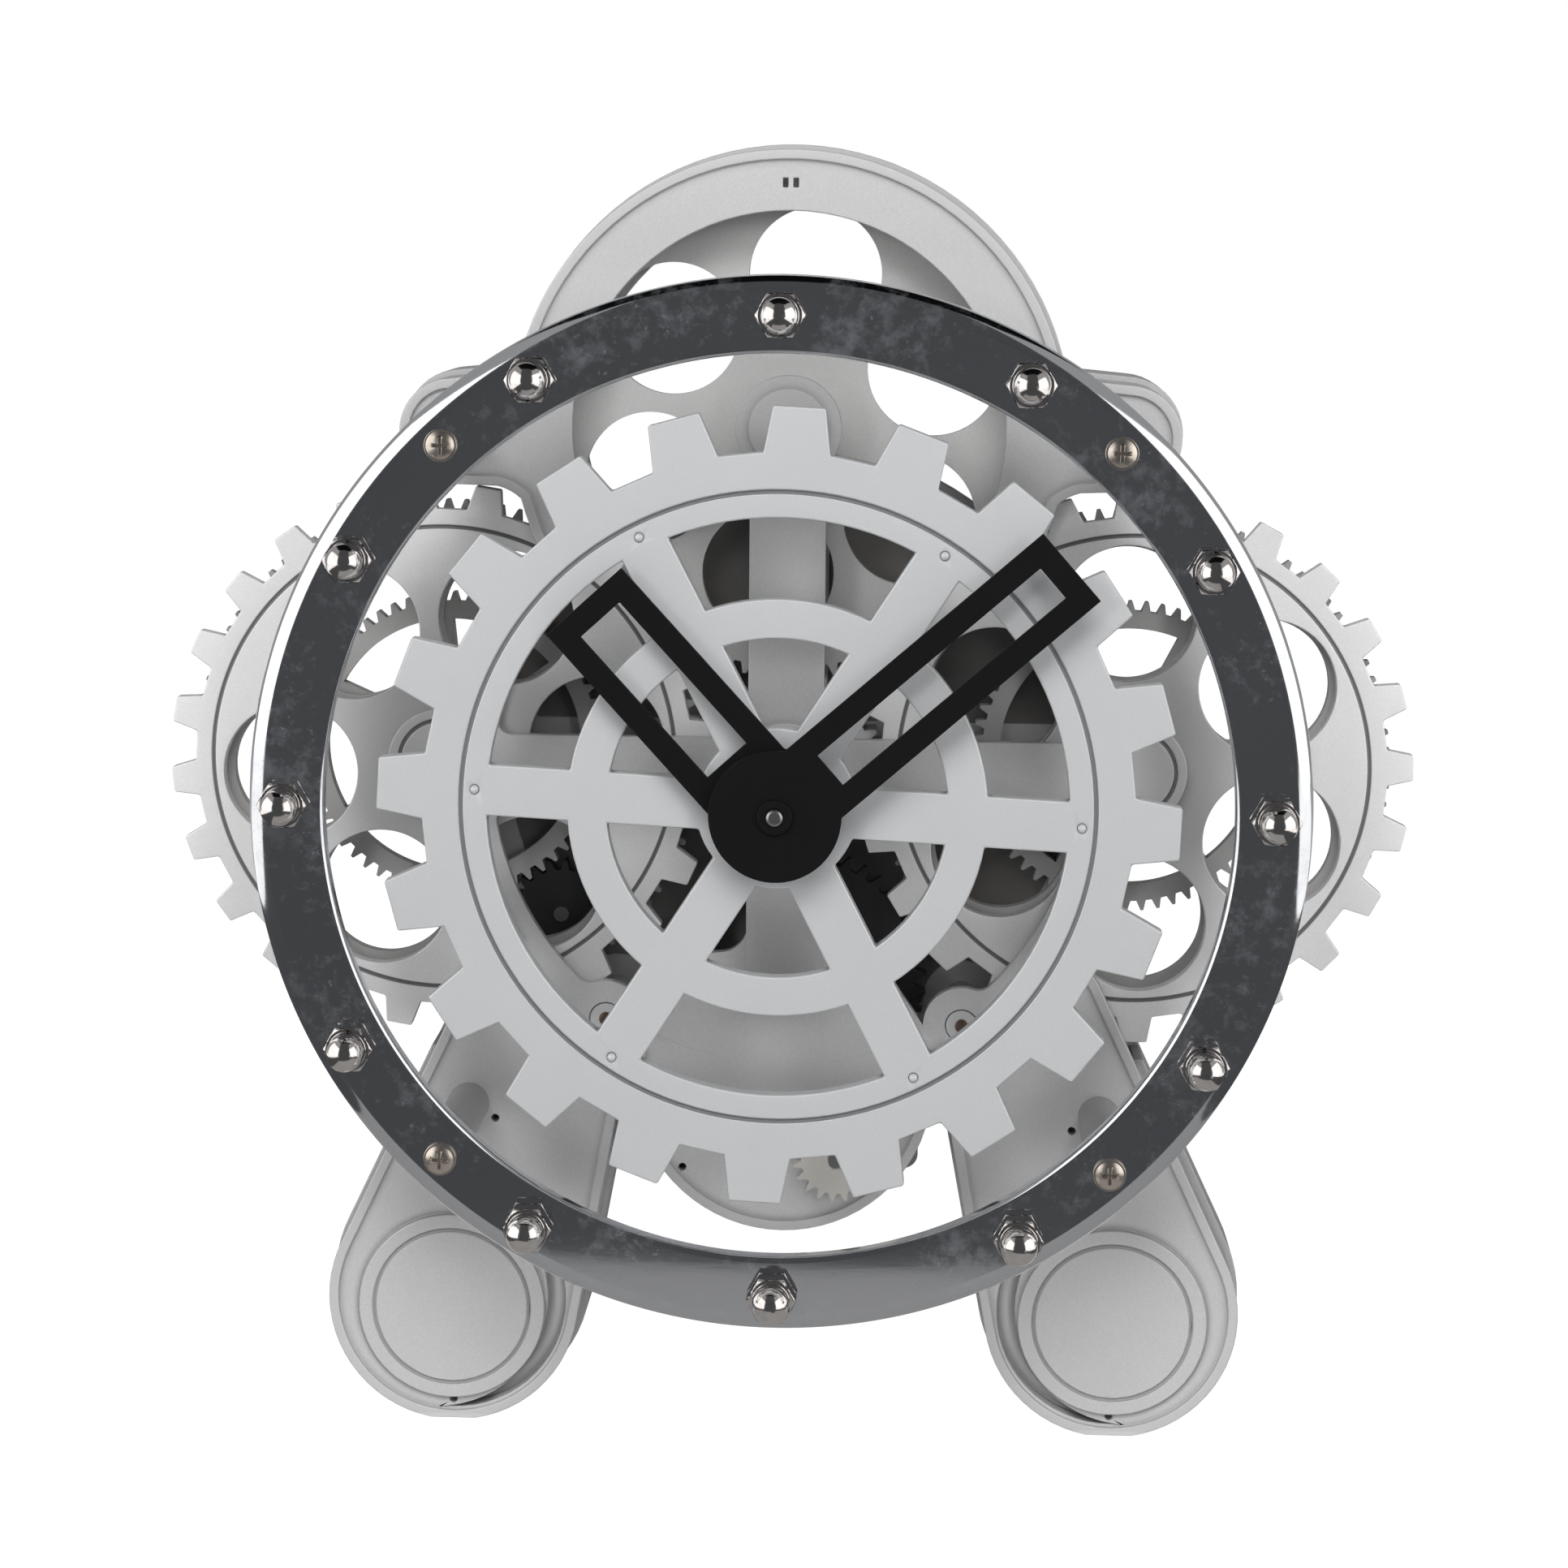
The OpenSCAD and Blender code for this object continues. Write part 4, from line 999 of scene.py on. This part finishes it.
def mirrored_room():
    """What polished metal mirrors, each as name, strength, tint and corners.

    A dark wall, slope and ceiling stand in front of and above the clock and white screens at its
    sides. The table mirrors dark in front, grey below the ring and white at the sides.
    """
    cool = (0.94, 0.96, 1.0)
    warm = (1.0, 0.985, 0.97)
    left, right, near, right_near, far = -0.62, 0.68, -0.9, -0.84, 0.3
    wall_top, slope_half, slope_end, roof, roof_end = 0.75, 0.45, -0.2, 1.35, 1.3
    roof_halves = (0.6, 1.0)
    table, above_table = 0.001, 0.0012
    dark_halves, white_end = (0.5, 0.34), 1.5
    grey_half, grey_near = 0.15, -0.176
    screen_end, screen_far, screen_foot, screen_tops = 1.15, 0.45, 0.02, (0.9, 1.0)

    def across(halves, near_y, far_y, height):
        """A level sheet from side to side, as wide as its near and far halves say."""
        return level_sheet([-half for half in halves], halves, near_y, far_y, height)

    def ground(side):
        """The white table beside the dark one."""
        inner = [side * half for half in dark_halves]
        return level_sheet(inner, [side * white_end] * 2, near, far, table)

    def screen(start, start_y, end):
        """An upright screen from a front edge back to a side."""
        return [
            (start, start_y, screen_foot), (end, screen_far, screen_foot),
            (end, screen_far, screen_tops[1]), (start, start_y, screen_tops[0]),
        ]

    wall = [(left, near, 0), (right, near, 0), (right, near, wall_top), (left, near, wall_top)]
    slope = [
        (left, near, wall_top), (right, near, wall_top),
        (slope_half, slope_end, roof), (-slope_half, slope_end, roof),
    ]
    return (
        ("dark_wall", 0.07, cool, wall),
        ("dark_slope", 0.07, cool, slope),
        ("dark_ceiling", 0.004, cool, across(roof_halves, slope_end, roof_end, roof)),
        ("dark_ground", 0.07, cool, across(dark_halves, near, far, table)),
        ("left_ground", 1.2, warm, ground(-1)),
        ("right_ground", 1.2, warm, ground(1)),
        ("grey_ground", 0.29, warm, across([grey_half] * 2, grey_near, far, above_table)),
        ("left_screen", 1.4, warm, screen(left, near, -screen_end)),
        ("right_screen", 1.4, warm, screen(right, right_near, screen_end)),
    )


class CLOCK_OT_studio(bpy.types.Operator):
    """Set up the floor, the soft lights, the surroundings and the camera"""

    bl_idname = "clock.studio"
    bl_label = "Studio"

    def execute(self, context):
        scene = context.scene
        scene.view_settings.view_transform = "Standard"
        # floor
        half = 4.0
        floor = level_sheet((-half, -half), (half, half), -half, half, 0)
        sheet("floor_paper", floor, paper, tone(studio().floor))
        # what polished metal mirrors
        for name, strength, tint, corners in mirrored_room():
            piece = sheet(name, corners, mirrored_cloth, strength, tint)
            piece.visible_camera = False
            piece.visible_diffuse = False
            piece.visible_transmission = False
            piece.visible_shadow = False
        # light, toward the clock's middle; polished metal mirrors the screens instead
        aim = (0, 0, 0.13)
        for name, place, size, power in (
            ("top_light", (0, -1.17, 1.07), (1.1, 0.55), studio().top),
            ("camera_light", (0.03, -1.35, 0.42), (0.5, 0.4), studio().front),
            ("left_light", (-0.6, -1.34, 0.44), (0.25, 0.4), studio().sides),
            ("right_light", (0.6, -1.34, 0.44), (0.25, 0.4), studio().sides),
        ):
            light = soft_box(name, place, aim, size[0], size[1], power)
            light.visible_glossy = False
        world = bpy.data.worlds.new("surroundings")
        scene.world = world
        world.use_nodes = True
        t = ShaderTree(world.node_tree)
        seen = t.node("ShaderNodeLightPath", output="Is Camera Ray")
        glossy = t.node("ShaderNodeLightPath", output="Is Glossy Ray")
        ambient = studio().ambient
        # polished metal mirrors a darker room behind the clock, which draws its outer edge
        room = 0.3
        strength = ambient + (1 - ambient) * seen + (room - ambient) * glossy
        back = t.node("ShaderNodeBackground", None, {"Color": (1, 1, 1, 1), "Strength": strength})
        t.node("ShaderNodeOutputWorld", None, {"Surface": back})
        # camera, with the photograph's perspective
        lens = bpy.data.cameras.new("camera")
        lens.sensor_width = 36.0
        lens.lens = 78.26
        lens.shift_x = 0.0289
        lens.shift_y = -0.1837
        lens.clip_start = 0.01
        lens.dof.use_dof = False
        eye = (0.02635, -0.64921, 0.23791)
        yaw, pitch, roll = (math.radians(a) for a in (3.15, 4.82, 0.47))
        ahead = Vector(
            (-math.sin(yaw) * math.cos(pitch), math.cos(yaw) * math.cos(pitch), -math.sin(pitch))
        )
        level = Vector((math.cos(yaw), math.sin(yaw), 0))
        upright = level.cross(ahead)
        right = math.cos(roll) * level + math.sin(roll) * upright
        up = math.cos(roll) * upright - math.sin(roll) * level
        camera = bpy.data.objects.new("camera", lens)
        turn = Matrix((right, up, -ahead)).transposed().to_4x4()
        camera.matrix_world = Matrix.Translation(eye) @ turn
        scene.collection.objects.link(camera)
        scene.camera = camera
        return {"FINISHED"}


OPERATORS = (
    CLOCK_OT_bezel_ring,
    CLOCK_OT_cap_nuts,
    CLOCK_OT_ring_screws,
    CLOCK_OT_front_wheel,
    CLOCK_OT_hands,
    CLOCK_OT_side_wheels,
    CLOCK_OT_frame_shells,
    CLOCK_OT_drive,
    CLOCK_OT_movement,
    CLOCK_OT_battery_box,
    CLOCK_OT_studio,
)


class CLOCK_PT_sidebar(bpy.types.Panel):
    """Lists the clock's settings and its pieces"""

    bl_idname = "CLOCK_PT_sidebar"
    bl_label = "Skeleton clock"
    bl_space_type = "VIEW_3D"
    bl_region_type = "UI"
    bl_category = "Clock"

    def draw(self, context):
        for group in ("clock_edges", "clock_colours", "clock_studio"):
            settings = getattr(context.scene, group)
            box = self.layout.box()
            for name in settings.bl_rna.properties.keys():
                if name not in ("rna_type", "name"):
                    box.prop(settings, name)
        for operator in OPERATORS:
            self.layout.operator(operator.bl_idname)


GROUPS = (
    (ClockEdges, "clock_edges"),
    (ClockColours, "clock_colours"),
    (StudioSettings, "clock_studio"),
)


def register():
    for group, name in GROUPS:
        bpy.utils.register_class(group)
        setattr(bpy.types.Scene, name, bpy.props.PointerProperty(type=group))
    for operator in OPERATORS:
        bpy.utils.register_class(operator)
    bpy.utils.register_class(CLOCK_PT_sidebar)


def unregister():
    bpy.utils.unregister_class(CLOCK_PT_sidebar)
    for operator in reversed(OPERATORS):
        bpy.utils.unregister_class(operator)
    for group, name in reversed(GROUPS):
        delattr(bpy.types.Scene, name)
        bpy.utils.unregister_class(group)


def main():
    """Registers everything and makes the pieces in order."""
    for extra in list(bpy.data.objects):
        if extra.name in ("Cube", "Light", "Camera"):
            bpy.data.objects.remove(extra)
    register()
    for operator in OPERATORS:
        group, name = operator.bl_idname.split(".")
        getattr(getattr(bpy.ops, group), name)()


if __name__ == "__main__":
    main()
